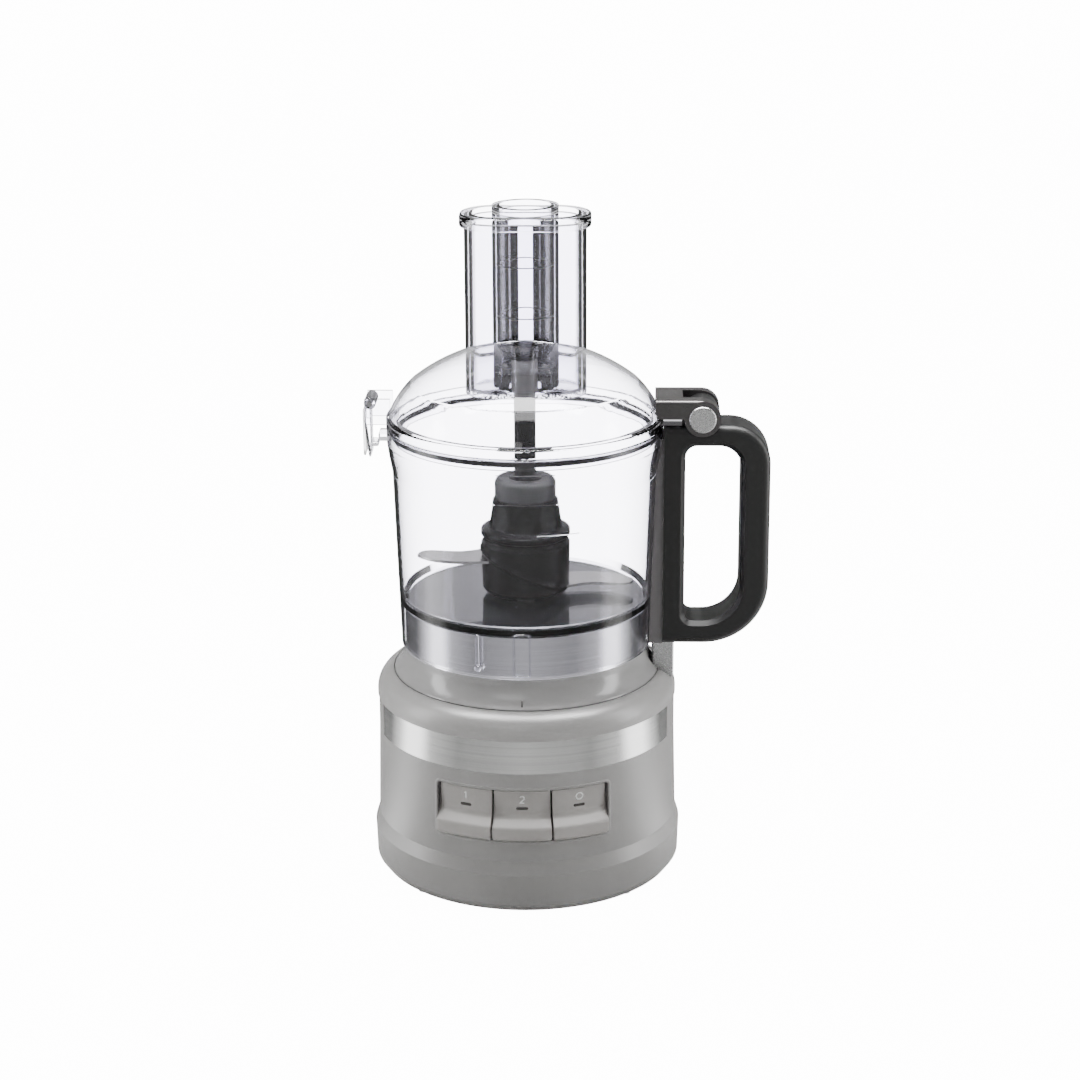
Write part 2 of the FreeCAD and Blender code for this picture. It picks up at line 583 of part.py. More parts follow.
# ---------------------------------------------------------------- rotor body
def rotor():
    """The motor's turning parts on their own shaft."""
    shaft = cylinder(MOTOR_SHAFT_R, PULLEY_BOTTOM_Z - 2, BAND_TOP_Z + 4, 0, MOTOR_Y)
    save("rotor_shaft", shaft)
    core = tube(ROTOR_R, MOTOR_SHAFT_R, STATOR_BOTTOM_Z, STATOR_TOP_Z, 0, MOTOR_Y)
    slots = []
    for i in range(12):
        slot = box(-1.1, 1.1, ROTOR_R - 5, ROTOR_R + 1, STATOR_BOTTOM_Z - 1, STATOR_TOP_Z + 1)
        slot.rotate(V(0, 0, 0), V(0, 0, 1), 30 * i)
        slot.translate(V(0, MOTOR_Y, 0))
        slots.append(slot)
    save("rotor_core", cut(core, *slots))
    save("commutator", tube(10.0, MOTOR_SHAFT_R, STATOR_TOP_Z + 6, STATOR_TOP_Z + 16, 0, MOTOR_Y))
    fan_z = CHASSIS_Z + CHASSIS_THICKNESS + 1.5
    disc = tube(27, MOTOR_SHAFT_R, fan_z, fan_z + 1.6, 0, MOTOR_Y)
    hub = tube(8, MOTOR_SHAFT_R, fan_z, fan_z + 8, 0, MOTOR_Y)
    vanes = []
    for i in range(10):
        vane = box(-0.7, 0.7, 7, 26, fan_z, fan_z + 8)
        vane.rotate(V(0, 0, 0), V(0, 0, 1), 36 * i)
        vane.translate(V(0, MOTOR_Y, 0))
        vanes.append(vane)
    save("cooling_fan", fuse(disc, hub, *vanes))
    barrel = tube(SMALL_PULLEY_R, MOTOR_SHAFT_R, PULLEY_BOTTOM_Z, PULLEY_TOP_Z, 0, MOTOR_Y)
    flanges = [tube(SMALL_PULLEY_R + 1.5, MOTOR_SHAFT_R, z, z + 1, 0, MOTOR_Y)
               for z in (PULLEY_BOTTOM_Z, PULLEY_TOP_Z - 1)]
    save("motor_pulley", fuse(barrel, *flanges))


# ---------------------------------------------------------------- key bodies
def key(name, azimuth):
    """One finger key: a slanting panel over a lip, hung from a pin at the top."""
    face_r = housing_radius(KEY_TOP_Z) - 1.6
    slope_r = housing_radius(KEY_BOTTOM_Z) - 3.2
    outline = [
        (face_r, KEY_TOP_Z), (slope_r, KEY_BOTTOM_Z + 13.5),
        (KEY_LIP_R, KEY_BOTTOM_Z + 7.8), (KEY_LIP_R - 0.6, KEY_BOTTOM_Z + 1.0),
        (KEY_LIP_R - 1.6, KEY_BOTTOM_Z), (slope_r - 4.0, KEY_BOTTOM_Z),
        (face_r - 4.0, KEY_TOP_Z - 9.0), (face_r - 4.0, KEY_TOP_Z),
    ]
    body = turned(outline)
    side = math.radians(KEY_HALF_ANGLE)
    reach = 130.0
    apex = -KEY_GAP / 2 / math.sin(side)
    wedge = Part.Face(Part.makePolygon([
        V(0, apex, 0), V(reach * math.tan(side), apex - reach, 0),
        V(-reach * math.tan(side), apex - reach, 0), V(0, apex, 0)])).extrude(V(0, 0, 150))
    body = body.common(wedge)
    knuckle_half = key_half_width(KEY_PIN_AXIS_R) - 1.0
    knuckle = Part.makeCylinder(KEY_PIN_R + 1.6, 2 * knuckle_half,
                                V(-knuckle_half, -KEY_PIN_AXIS_R, KEY_PIN_Z), V(1, 0, 0))
    web = box(-knuckle_half, knuckle_half, -face_r + 2.0, -KEY_PIN_AXIS_R,
              KEY_PIN_Z - 1.2, KEY_PIN_Z + 1.2)
    stem = box(-2, 2, -slope_r + 1.0, -KEY_SWITCH_FACE - 4.6, KEY_STEM_Z - 2.5, KEY_STEM_Z + 2.5)
    bore = Part.makeCylinder(KEY_PIN_R + RUNNING, 60, V(-30, -KEY_PIN_AXIS_R, KEY_PIN_Z), V(1, 0, 0))
    slot_z = KEY_BOTTOM_Z + 19.0
    slot = box(-LED_LENGTH / 2, LED_LENGTH / 2, -face_r - 2, -slope_r + 2.0,
               slot_z - LED_HEIGHT / 2, slot_z + LED_HEIGHT / 2)
    lens = slot.common(turned([(r - 0.5, z) for r, z in outline]))
    shape = cut(fuse(body, knuckle, web, stem), bore, slot)
    save(name, at_azimuth(shape, azimuth))
    save(name + "_lens", at_azimuth(lens, azimuth))


# ---------------------------------------------------------------- bowl body
def bowl_outline(inset):
    """(radius, z) points up the bowl's wall, moved inwards by inset."""
    return [
        (BOWL_SKIRT_R - inset, BOWL_SKIRT_Z),
        (BOWL_MIDDLE_R - inset, BOWL_FLOOR_Z + 20),
        (BOWL_UPPER_R - inset, BOWL_TOP_Z - 27),
        (BOWL_RIM_R - 1.0 - inset, BOWL_TOP_Z - 16),
        (BOWL_RIM_R - inset, BOWL_TOP_Z - 9),
        (BOWL_RIM_R - inset, BOWL_TOP_Z),
    ]


def bowl_envelope(grow=0.0):
    """The whole space inside the bowl's outer surface."""
    return turned([(0, BOWL_SKIRT_Z)] + bowl_outline(-grow) + [(0, BOWL_TOP_Z)])


def bowl_cavity():
    """The space for food, down to the floor."""
    wall = bowl_outline(BOWL_WALL)
    slope = (wall[1][0] - wall[0][0]) / (wall[1][1] - wall[0][1])
    floor_r = wall[0][0] + slope * (BOWL_FLOOR_Z - BOWL_SKIRT_Z)
    top = [(wall[-1][0], BOWL_TOP_Z + 1), (0, BOWL_TOP_Z + 1)]
    return turned([(0, BOWL_FLOOR_Z), (floor_r - 3, BOWL_FLOOR_Z), (floor_r, BOWL_FLOOR_Z + 3)]
                  + wall[1:] + top)


def bowl():
    """Clear bowl with its skirt, its centre chimney and the latch's catch."""
    skirt_r = BOWL_SKIRT_R - BOWL_WALL
    under = cylinder(skirt_r, BOWL_SKIRT_Z - 1, BOWL_FLOOR_Z - BOWL_FLOOR)
    bore_r = CHIMNEY_R - 3.0
    chimney = tube(CHIMNEY_R, bore_r, BOWL_FLOOR_Z - BOWL_FLOOR, CHIMNEY_TOP_Z)
    catch = box(-BOWL_RIM_R - 4.5, -BOWL_RIM_R + 1.0, -7, 7, BOWL_TOP_Z - 9, BOWL_TOP_Z - 5)
    shell = cut(bowl_envelope(), bowl_cavity(), under, cylinder(bore_r, 100, 300))
    return save("bowl", fuse(shell, chimney, catch))


def grip_outline(x0, x1, z0, z1, radii):
    """A face in the XZ plane with corner radii: low left, low right, high right, high left."""
    corners = [(x0, z0, 1, 1), (x1, z0, -1, 1), (x1, z1, -1, -1), (x0, z1, 1, -1)]
    edges, ends = [], []
    for (x, z, sx, sz), r in zip(corners, radii):
        turn_in = V(x, 0, z + sz * r) if sx * sz > 0 else V(x + sx * r, 0, z)
        turn_out = V(x + sx * r, 0, z) if sx * sz > 0 else V(x, 0, z + sz * r)
        if r > 0:
            d = r * (1 - math.sqrt(0.5))
            edges.append(Part.Arc(turn_in, V(x + sx * d, 0, z + sz * d), turn_out).toShape())
        ends.append((turn_in, turn_out))
    for i, (_, turn_out) in enumerate(ends):
        next_in = ends[(i + 1) % 4][0]
        edges.append(Part.LineSegment(turn_out, next_in).toShape())
    return Part.Face(Part.Wire(Part.__sortEdges__(edges)))


def grip_solid(face, half_width):
    solid = face.extrude(V(0, 2 * half_width, 0))
    solid.translate(V(0, -half_width, 0))
    return solid


def handle_grip():
    """The D-shaped grip, with the hinge knuckle on top and the rod's channel."""
    outer = grip_outline(GRIP_INNER_X, GRIP_OUTER_X, GRIP_BOTTOM_Z, GRIP_TOP_Z,
                         (0.0, 38.0, 24.0, 0.0))
    hole = grip_outline(GRIP_INNER_X + GRIP_COLUMN, GRIP_OUTER_X - GRIP_BAR,
                        GRIP_BOTTOM_Z + 14.0, GRIP_TOP_Z - 12.5, (5.0, 22.0, 13.0, 7.0))
    body = grip_solid(outer, GRIP_HALF_WIDTH)
    side_edges = [e for e in body.Edges
                  if abs(abs(e.CenterOfMass.y) - GRIP_HALF_WIDTH) < 1e-3
                  and e.CenterOfMass.x > GRIP_INNER_X + 1]
    body = body.makeFillet(4.5, side_edges)
    body = body.cut(grip_solid(hole, GRIP_HALF_WIDTH + 1))
    side_edges = [e for e in body.Edges
                  if abs(abs(e.CenterOfMass.y) - GRIP_HALF_WIDTH) < 0.2
                  and e.BoundBox.XMin > GRIP_INNER_X + GRIP_COLUMN - 1
                  and e.BoundBox.XMax < GRIP_OUTER_X - GRIP_BAR + 1
                  and e.BoundBox.ZMin > GRIP_BOTTOM_Z + 10]
    body = body.makeChamfer(2.6, side_edges)
    knuckle_r = HINGE_BOSS_R - 1.0
    knuckle = fuse(
        cross_cylinder(knuckle_r, HINGE_X, HINGE_Z, -KNUCKLE_HALF_WIDTH, KNUCKLE_HALF_WIDTH),
        box(HINGE_X - knuckle_r, HINGE_X + knuckle_r, -KNUCKLE_HALF_WIDTH, KNUCKLE_HALF_WIDTH,
            GRIP_TOP_Z - 8, HINGE_Z))
    hollow_r = HINGE_BOSS_R + PART_GAP + 0.3
    hollows = [cross_cylinder(hollow_r, HINGE_X, HINGE_Z, y0, y1) for y0, y1 in
               ((-30, -KNUCKLE_HALF_WIDTH), (KNUCKLE_HALF_WIDTH, 30))]
    body = fuse(cut(body, *hollows), knuckle)
    pin_hole = cross_cylinder(HINGE_PIN_R + RUNNING, HINGE_X, HINGE_Z, -30, 30)
    channel = cylinder(ROD_R + PART_GAP, HANDLE_FOOT_Z, GRIP_TOP_Z + 5, ROD_X, 0)
    screws = [screw for z in HANDLE_SCREW_Z for screw in handle_screw_pair(z)]
    return save("handle_grip", cut(body, pin_hole, channel, spring_pocket(), *screws))


def spring_pocket():
    """Room for the rod's spring and collar."""
    return cylinder(SPRING_R + SPRING_WIRE_R + PART_GAP, SPRING_FLOOR_Z, ROD_COLLAR_Z + 10, ROD_X, 0)


def handle_screw_pair(z):
    """Two screws side by side, from the spine into the grip's column."""
    pair = []
    x_head = GRIP_INNER_X + GRIP_COLUMN - 2.0
    for y in (-8.0, 8.0):
        shank = Part.makeCylinder(1.8, 14.5, V(x_head - 14.0, y, z), V(1, 0, 0))
        head = Part.makeCylinder(3.4, 2.0, V(x_head, y, z), V(1, 0, 0))
        pair.append(fuse(shank, head))
    return pair


def handle():
    """Spine, foot, screws and the rod that tells the base the lid is shut."""
    handle_grip()
    spine = box(BOWL_SKIRT_R - 4, GRIP_INNER_X, -13, 13, GRIP_BOTTOM_Z, BOWL_TOP_Z - 6)
    spine = spine.cut(bowl_envelope())
    screws = [screw for z in HANDLE_SCREW_Z for screw in handle_screw_pair(z)]
    save("handle_spine", cut(spine, spring_pocket(), *screws))
    half = HANDLE_FOOT_HALF_WIDTH
    foot = box(GRIP_INNER_X - 6, HANDLE_FOOT_X, -half, half, HANDLE_FOOT_Z, GRIP_BOTTOM_Z)
    foot = foot.makeFillet(1.5, vertical_edges(foot, lambda p: True))
    save("handle_foot", foot.cut(cylinder(ROD_R + PART_GAP, 100, 150, ROD_X, 0)))
    outside = bowl_envelope(BOWL_WALL)
    inner_screws = [screw.cut(outside.common(bowl_envelope())) for screw in screws]
    save("handle_screws", group(inner_screws))

    rod = fuse(cylinder(ROD_R, HANDLE_FOOT_Z + 1, GRIP_TOP_Z, ROD_X, 0),
               cylinder(SPRING_R + SPRING_WIRE_R, ROD_COLLAR_Z, ROD_COLLAR_Z + 2, ROD_X, 0))
    save("interlock_rod", rod)
    height = ROD_COLLAR_Z - SPRING_FLOOR_Z - 2 * SPRING_WIRE_R - 0.2
    helix = Part.makeHelix(3.0, height, SPRING_R)
    circle = Part.Wire(Part.makeCircle(SPRING_WIRE_R, V(SPRING_R, 0, 0), V(0, 1, 0)))
    coil = Part.Wire(helix).makePipeShell([circle], True, True)
    coil.translate(V(ROD_X, 0, SPRING_FLOOR_Z + SPRING_WIRE_R + 0.1))
    save("interlock_spring", coil)


# ---------------------------------------------------------------- lid body
def tube_block(inset, z0, z1):
    """The feed tube's plan shape, an oblong with large round corners, as a block."""
    wide, deep = TUBE_HALF_WIDTH - inset, TUBE_HALF_DEPTH - inset
    block = box(-wide, wide, TUBE_CENTRE_Y - deep, TUBE_CENTRE_Y + deep, z0, z1)
    return block.makeFillet(TUBE_CORNER_R - inset, vertical_edges(block, lambda p: True))


def soft_rim(shape, radius, z0, z1):
    """Rounds the level edges of a lip between two heights."""
    return shape.makeFillet(radius, [e for e in shape.Edges
                                     if e.BoundBox.ZLength < 1e-3 and z0 <= e.BoundBox.ZMin <= z1])


def dome_outline(drop):
    """The lid's outer section: a spherical cap over a shorter arc at the shoulder."""
    rim_z = BOWL_TOP_Z + PART_GAP + LID_RIM_HEIGHT
    edge_r, edge_z = LID_RIM_R - 14.0, rim_z + 19.0
    rise = LID_TOP_Z - edge_z
    ball_r = (edge_r ** 2 + rise ** 2) / (2 * rise)
    centre_z = LID_TOP_Z - ball_r
    scale = (ball_r - drop) / ball_r
    join = (edge_r * scale, centre_z + (edge_z - centre_z) * scale)
    lean = math.asin(edge_r / ball_r) / 2
    middle = ((ball_r - drop) * math.sin(lean), centre_z + (ball_r - drop) * math.cos(lean))
    return [
        arc(LID_RIM_R - 1.2 - drop, rim_z, LID_RIM_R - 5.2 - drop, rim_z + 8.0 - 0.3 * drop, *join),
        arc(*join, *middle, 0.0, LID_TOP_Z - drop),
    ]


def dome_solid(drop, z_low):
    rim_z = BOWL_TOP_Z + PART_GAP + LID_RIM_HEIGHT
    edge_r = LID_RIM_R - 1.2 - drop
    return turned_edges(dome_outline(drop) + [
        line(0.0, LID_TOP_Z - drop, 0.0, z_low),
        line(0.0, z_low, edge_r, z_low),
        line(edge_r, z_low, edge_r, rim_z),
    ])


def lid():
    """Clear dome with its rim, the plug inside the bowl, the feed tube and the hub."""
    low_z = BOWL_TOP_Z + PART_GAP
    rim_z = low_z + LID_RIM_HEIGHT
    plug_r = BOWL_RIM_R - BOWL_WALL - 2.0
    plug_low = BOWL_TOP_Z - 7.0
    skin = dome_solid(0.0, rim_z - 1.0).cut(dome_solid(LID_WALL, rim_z - 5))
    rim = tube(LID_RIM_R, plug_r - 2.4, low_z, rim_z)
    rim = rim.makeFillet(1.2, [e for e in rim.Edges if abs(e.BoundBox.XMax - LID_RIM_R) < 1e-3
                               and len(e.Vertexes) < 2])
    plug = tube(plug_r, plug_r - 2.4, plug_low, rim_z)
    tube_outer = tube_block(0.0, TUBE_BOTTOM_Z, TUBE_TOP_Z)
    lip_z = TUBE_TOP_Z - FLANGE_HEIGHT
    lip = soft_rim(tube_block(-FLANGE_OVERHANG, lip_z, TUBE_TOP_Z), 1.6, lip_z - 0.1, lip_z + 0.1)
    hub = cylinder(HUB_R, HUB_BOTTOM_Z, LID_TOP_Z - 1.0)
    ears = [box(LATCH_X - 3.0, -LID_RIM_R + 3.0, y - 1.1, y + 1.1, low_z + 1.5, LATCH_Z + 3.0)
            for y in (-LATCH_HALF_WIDTH - PART_GAP - 1.1, LATCH_HALF_WIDTH + PART_GAP + 1.1)]
    shelf = box(HINGE_X - 26, HINGE_X - 12, -ARM_HALF_WIDTH, ARM_HALF_WIDTH,
                rim_z - 2.6, HINGE_Z - 0.1)
    body = fuse(skin, rim, plug, tube_outer, lip, hub, shelf, *ears)
    inside = tube_block(TUBE_WALL, TUBE_BOTTOM_Z - 40, TUBE_TOP_Z + 5)
    latch_hole = cross_cylinder(LATCH_PIN_R, LATCH_X, LATCH_Z, -30, 30)
    bush_hole = cylinder(BUSH_R, HUB_BOTTOM_Z - 5, BUSH_TOP_Z)
    return save("lid", cut(body, inside, latch_hole, bush_hole))


def lid_fittings():
    """Seal, metal bush in the hub and the latch's pin."""
    plug_r = BOWL_RIM_R - BOWL_WALL - 2.0
    save("lid_seal", tube(plug_r + 1.2, plug_r, BOWL_TOP_Z - 4.5, BOWL_TOP_Z - 1.5))
    bush = fuse(tube(BUSH_R, BUSH_R - 1.1, BUSH_BOTTOM_Z, BUSH_TOP_Z),
                cylinder(BUSH_R, BUSH_TOP_Z - 1.5, BUSH_TOP_Z))
    save("lid_hub_bush", bush)
    save("latch_pin", cross_cylinder(LATCH_PIN_R, LATCH_X, LATCH_Z,
                                     -LATCH_HALF_WIDTH - 2.4, LATCH_HALF_WIDTH + 2.4))


def hinge():
    """Forked arm on the lid, the pin through the handle's knuckle and its caps."""
    gap_half = KNUCKLE_HALF_WIDTH + 0.4
    arm = box(HINGE_X - 27, HINGE_X, -ARM_HALF_WIDTH, ARM_HALF_WIDTH, HINGE_Z, ARM_TOP_Z)
    arm = arm.makeFillet(2.0, [e for e in arm.Edges
                               if e.BoundBox.ZMin > ARM_TOP_Z - 1e-3
                               and abs(e.CenterOfMass.y) > ARM_HALF_WIDTH - 1e-3])
    boss = cross_cylinder(HINGE_BOSS_R, HINGE_X, HINGE_Z, -ARM_HALF_WIDTH, ARM_HALF_WIDTH)
    fork_gap = box(HINGE_X - 11.3, HINGE_X + 20, -gap_half, gap_half,
                   HINGE_Z - 20, HINGE_Z + 20)
    rim_z = BOWL_TOP_Z + PART_GAP + LID_RIM_HEIGHT
    arm = fuse(arm, boss)
    pin_hole = cross_cylinder(HINGE_PIN_R, HINGE_X, HINGE_Z, -30, 30)
    lid_side = fuse(dome_solid(0.0, rim_z - 5), cylinder(LID_RIM_R, BOWL_TOP_Z, rim_z))
    save("hinge_arm", cut(arm, fork_gap, pin_hole, lid_side))
    save("hinge_pin", cross_cylinder(HINGE_PIN_R, HINGE_X, HINGE_Z,
                                     -ARM_HALF_WIDTH, ARM_HALF_WIDTH))
    caps = []
    for side in (-1, 1):
        y0, y1 = sorted((side * ARM_HALF_WIDTH, side * (ARM_HALF_WIDTH + 2.2)))
        cap = cross_cylinder(HINGE_CAP_R, HINGE_X, HINGE_Z, y0, y1)
        outer = [e for e in cap.Edges if abs(abs(e.CenterOfMass.y) - ARM_HALF_WIDTH - 2.2) < 1e-3
                 and len(e.Vertexes) < 2]
        caps.append(cap.makeFillet(1.2, outer))
    save("hinge_caps", group(caps))


# ---------------------------------------------------------------- latch body
def latch():
    """A lever that hangs from the lid and grips the bowl's catch with a nib."""
    half = LATCH_HALF_WIDTH
    catch_x = -BOWL_RIM_R - 4.5
    x_out, x_in = LATCH_X - 3.0, LATCH_X + 0.2
    plate = box(x_out, x_in, -half, half, LATCH_BOTTOM_Z, LATCH_Z)
    barrel = cross_cylinder(3.6, LATCH_X, LATCH_Z, -half, half)
    nib = box(x_in - 1, catch_x - PART_GAP, -5, 5, BOWL_TOP_Z - 13, BOWL_TOP_Z - 10)
    lever = fuse(plate, barrel, nib)
    bore = cross_cylinder(LATCH_PIN_R + RUNNING, LATCH_X, LATCH_Z, -30, 30)
    save("latch_lever", lever.cut(bore))
    front = box(x_out - 1.4, x_out, -half + 1.5, half - 1.5, LATCH_BOTTOM_Z + 1, LATCH_Z - 4)
    outer = [e for e in front.Edges if e.BoundBox.XMax < x_out - 1.3]
    save("latch_plate", front.makeFillet(0.9, outer))


# ---------------------------------------------------------------- pusher bodies
def pushers():
    """The large pusher, which fills the feed tube, and the cup that slides in it."""
    outer = TUBE_WALL + SLIDING_GAP
    low_z = TUBE_BOTTOM_Z + 2.0
    flange_z = TUBE_TOP_Z + PART_GAP
    top_z = flange_z + FLANGE_HEIGHT
    body = tube_block(outer, low_z, top_z)
    hollow = tube_block(outer + PUSHER_WALL, low_z + PUSHER_WALL, flange_z + 20)
    bore_r = SMALL_PUSHER_R + SLIDING_GAP
    guide = cylinder(bore_r + PUSHER_WALL, low_z, top_z, 0, SMALL_PUSHER_Y).common(body)
    lip = soft_rim(tube_block(-FLANGE_OVERHANG, flange_z, top_z), 1.8, top_z - 0.1, top_z + 0.1)
    lip = lip.cut(hollow)
    shell = fuse(body.cut(hollow), guide, lip)
    bore = cylinder(bore_r, low_z - 5, flange_z + 20, 0, SMALL_PUSHER_Y)
    save("large_pusher", shell.cut(bore))

    ring_z = top_z + PART_GAP
    cup = fuse(
        tube(SMALL_PUSHER_R, SMALL_PUSHER_R - 1.8, low_z + 1, SMALL_PUSHER_TOP_Z, 0, SMALL_PUSHER_Y),
        cylinder(SMALL_PUSHER_R, low_z + 1, low_z + 3, 0, SMALL_PUSHER_Y),
        tube(SMALL_PUSHER_RING_R, SMALL_PUSHER_R - 1.8, ring_z, SMALL_PUSHER_TOP_Z, 0,
             SMALL_PUSHER_Y))
    save("small_pusher", cup)


# ---------------------------------------------------------------- blade body
def blade_outline(side):
    """Plan of one S-shaped blade that reaches out along side * X."""
    half = BLADE_CHORD / 2
    root = BLADE_HUB_R - 8
    points = [V(0, half * side * 0.9, 0), V(root * side, half * side * 1.0, 0),
              V(0.75 * BLADE_TIP_R * side, half * side * 0.95, 0),
              V(0.97 * BLADE_TIP_R * side, half * side * 0.20, 0)]
    back = Part.BSplineCurve()
    back.interpolate(points)
    tip = points[-1]
    low = [tip, V(0.93 * BLADE_TIP_R * side, -half * side * 0.25, 0),
           V(0.6 * BLADE_TIP_R * side, -half * side * 0.25, 0),
           V(root * side, -half * side * 0.9, 0), V(0, -half * side * 0.9, 0)]
    edge = Part.BSplineCurve()
    edge.interpolate(low)
    close = Part.LineSegment(low[-1], points[0]).toShape()
    return Part.Face(Part.Wire([back.toShape(), edge.toShape(), close]))


def blade_plate(side, z):
    """One blade with the collar that the hub is moulded round."""
    blade = blade_outline(side).extrude(V(0, 0, BLADE_THICKNESS))
    collar = cylinder(HUB_BORE_R + 8.0, 0, BLADE_THICKNESS)
    plate = fuse(blade, collar).cut(cylinder(HUB_BORE_R + 3.0, -1, BLADE_THICKNESS + 1))
    plate.translate(V(0, 0, z))
    return plate


def blade_hub():
    """The moulded hub, its two blades and the cap on top."""
    plates = [save("upper_blade", blade_plate(-1, UPPER_BLADE_Z)),
              save("lower_blade", blade_plate(1, LOWER_BLADE_Z))]
    r = BLADE_HUB_R
    ring_z = CHIMNEY_TOP_Z + 9.0
    body = turned([
        (0, BLADE_HUB_BOTTOM_Z), (r - 2.4, BLADE_HUB_BOTTOM_Z), (r - 1.0, BLADE_HUB_BOTTOM_Z + 1.5),
        (r, ring_z - 7), (r - 1.4, ring_z - 5), (r - 1.4, ring_z - 3), (r - 0.4, ring_z - 2),
        (r - 0.4, ring_z + 1), (r - 5.0, ring_z + 2.5), (r - 5.0, ring_z + 10),
        (BLADE_CAP_R + 1.0, BLADE_HUB_TOP_Z), (0, BLADE_HUB_TOP_Z)])
    room = cylinder(HUB_BORE_R, BLADE_HUB_BOTTOM_Z - 1, CHIMNEY_TOP_Z + 4)
    socket = cylinder(ADAPTER_R, CHIMNEY_TOP_Z, BLADE_HUB_TOP_Z + 1)
    grip = Part.makeCylinder(4.2, 3, V(0, -BLADE_HUB_R + 3.4, ring_z + 9), V(0, -1, 0))
    grips = ring_of(grip, range(0, 360, 45))
    save("blade_hub", cut(body, room, socket, *(plates + grips)))
    cap = cylinder(BLADE_CAP_R, BLADE_HUB_TOP_Z, BLADE_CAP_TOP_Z)
    cap = cap.makeFillet(3.0, [e for e in cap.Edges if e.BoundBox.ZMin > BLADE_CAP_TOP_Z - 1e-3])
    save("blade_cap", cap.cut(cylinder(ADAPTER_R, 150, 300)))


def drive_adapter():
    """Slips over the spindle's flats, turns the hub and steadies it in the lid."""
    taper_z = BUSH_BOTTOM_Z - 1.0
    bush_bore_r = BUSH_R - 1.1
    pin_low, pin_high = bush_bore_r - 1.2, bush_bore_r - 2.4
    body = turned([
        (0, CHIMNEY_TOP_Z + 1.0), (ADAPTER_R, CHIMNEY_TOP_Z + 1.0),
        (ADAPTER_R, BLADE_CAP_TOP_Z), (SHAFT_R + 0.3, BLADE_CAP_TOP_Z + 1.0),
        (SHAFT_R, BLADE_CAP_TOP_Z + 2.0), (SHAFT_R, taper_z), (pin_low, taper_z),
        (pin_high, taper_z + 11.0), (0, taper_z + 11.0)])
    gap = PART_GAP
    socket = cylinder(SPINDLE_R + gap, CHIMNEY_TOP_Z - 5, SPINDLE_TOP_Z + gap)
    flats = box(-SPINDLE_FLAT - gap, SPINDLE_FLAT + gap, -20, 20, 150, 300)
    save("drive_adapter", body.cut(socket.common(flats)))


def main():
    os.makedirs("parts", exist_ok=True)
    base_housing()
    trim_band()
    key_bezel()
    base_plate()
    rubber_feet()
    base_screws()
    cord_gland()
    shoulder_cover()
    neck_collar()
    motor_frame(pedestal())
    drive_belt()
    controls()
    spindle()
    rotor()
    for name, azimuth in zip(("key_one", "key_two", "key_pulse"), key_azimuths()):
        key(name, azimuth)
    bowl()
    handle()
    lid()
    lid_fittings()
    hinge()
    latch()
    pushers()
    blade_hub()
    drive_adapter()


main()
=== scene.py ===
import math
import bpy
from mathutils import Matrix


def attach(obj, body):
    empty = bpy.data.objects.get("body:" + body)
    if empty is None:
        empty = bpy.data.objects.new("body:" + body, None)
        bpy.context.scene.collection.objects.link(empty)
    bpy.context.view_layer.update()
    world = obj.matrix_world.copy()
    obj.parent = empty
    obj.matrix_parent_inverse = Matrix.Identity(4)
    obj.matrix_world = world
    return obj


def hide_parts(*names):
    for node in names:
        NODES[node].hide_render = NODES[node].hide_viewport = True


bl_info = {
    "name": "Food processor surfaces",
    "version": (1, 0, 0),
    "blender": (4, 5, 0),
    "location": "3D View > Sidebar > Food processor",
    "description": "Finishes, surface pieces and studio for a food processor",
    "category": "Object",
}

import bmesh
import bpy
import numpy as np
from bpy.props import FloatProperty, FloatVectorProperty, PointerProperty
from mathutils import Matrix, Vector

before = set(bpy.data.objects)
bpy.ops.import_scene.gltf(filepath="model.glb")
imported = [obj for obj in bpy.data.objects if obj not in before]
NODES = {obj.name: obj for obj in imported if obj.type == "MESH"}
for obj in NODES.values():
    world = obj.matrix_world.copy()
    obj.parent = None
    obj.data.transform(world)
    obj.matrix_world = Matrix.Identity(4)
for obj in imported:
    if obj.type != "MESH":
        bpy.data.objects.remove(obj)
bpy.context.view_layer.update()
MM = 0.001


# ------------------------------------------------------------------ settings
class StageSettings(bpy.types.PropertyGroup):
    """Camera and light of the studio."""

    camera_distance: FloatProperty(
        name="Camera distance", description="Level distance from the blade axis to the camera",
        default=1.467, unit="LENGTH")
    camera_height: FloatProperty(
        name="Camera height", description="Height of the camera above the feet",
        default=0.667, unit="LENGTH")
    camera_pitch: FloatProperty(
        name="Camera pitch", description="How far the camera looks down",
        default=0.3085, subtype="ANGLE")
    camera_roll: FloatProperty(
        name="Camera roll", description="Turn of the camera about its own line of sight",
        default=-0.005, subtype="ANGLE")
    camera_pan: FloatProperty(
        name="Camera pan", description="How far the camera points to the right of the axis",
        default=0.0058, subtype="ANGLE")
    turn: FloatProperty(
        name="Turn", description="How far round the object the camera stands, towards the handle",
        default=math.radians(2.0), subtype="ANGLE")
    lens: FloatProperty(
        name="Lens", description="Focal length in millimetres on a 36 mm sensor",
        default=86.83)
    floor_colour: FloatVectorProperty(
        name="Floor colour", description="Colour of the floor and the backdrop",
        subtype="COLOR", size=3, default=(0.6, 0.6, 0.6), min=0.0, max=1.0)
    world_strength: FloatProperty(
        name="Room light", description="Strength of the even light from all round",
        default=0.07, min=0.0)
    paper_glow: FloatProperty(
        name="Paper glow", description="How bright the paper looks beyond its own shading",
        default=14.0, min=0.0)


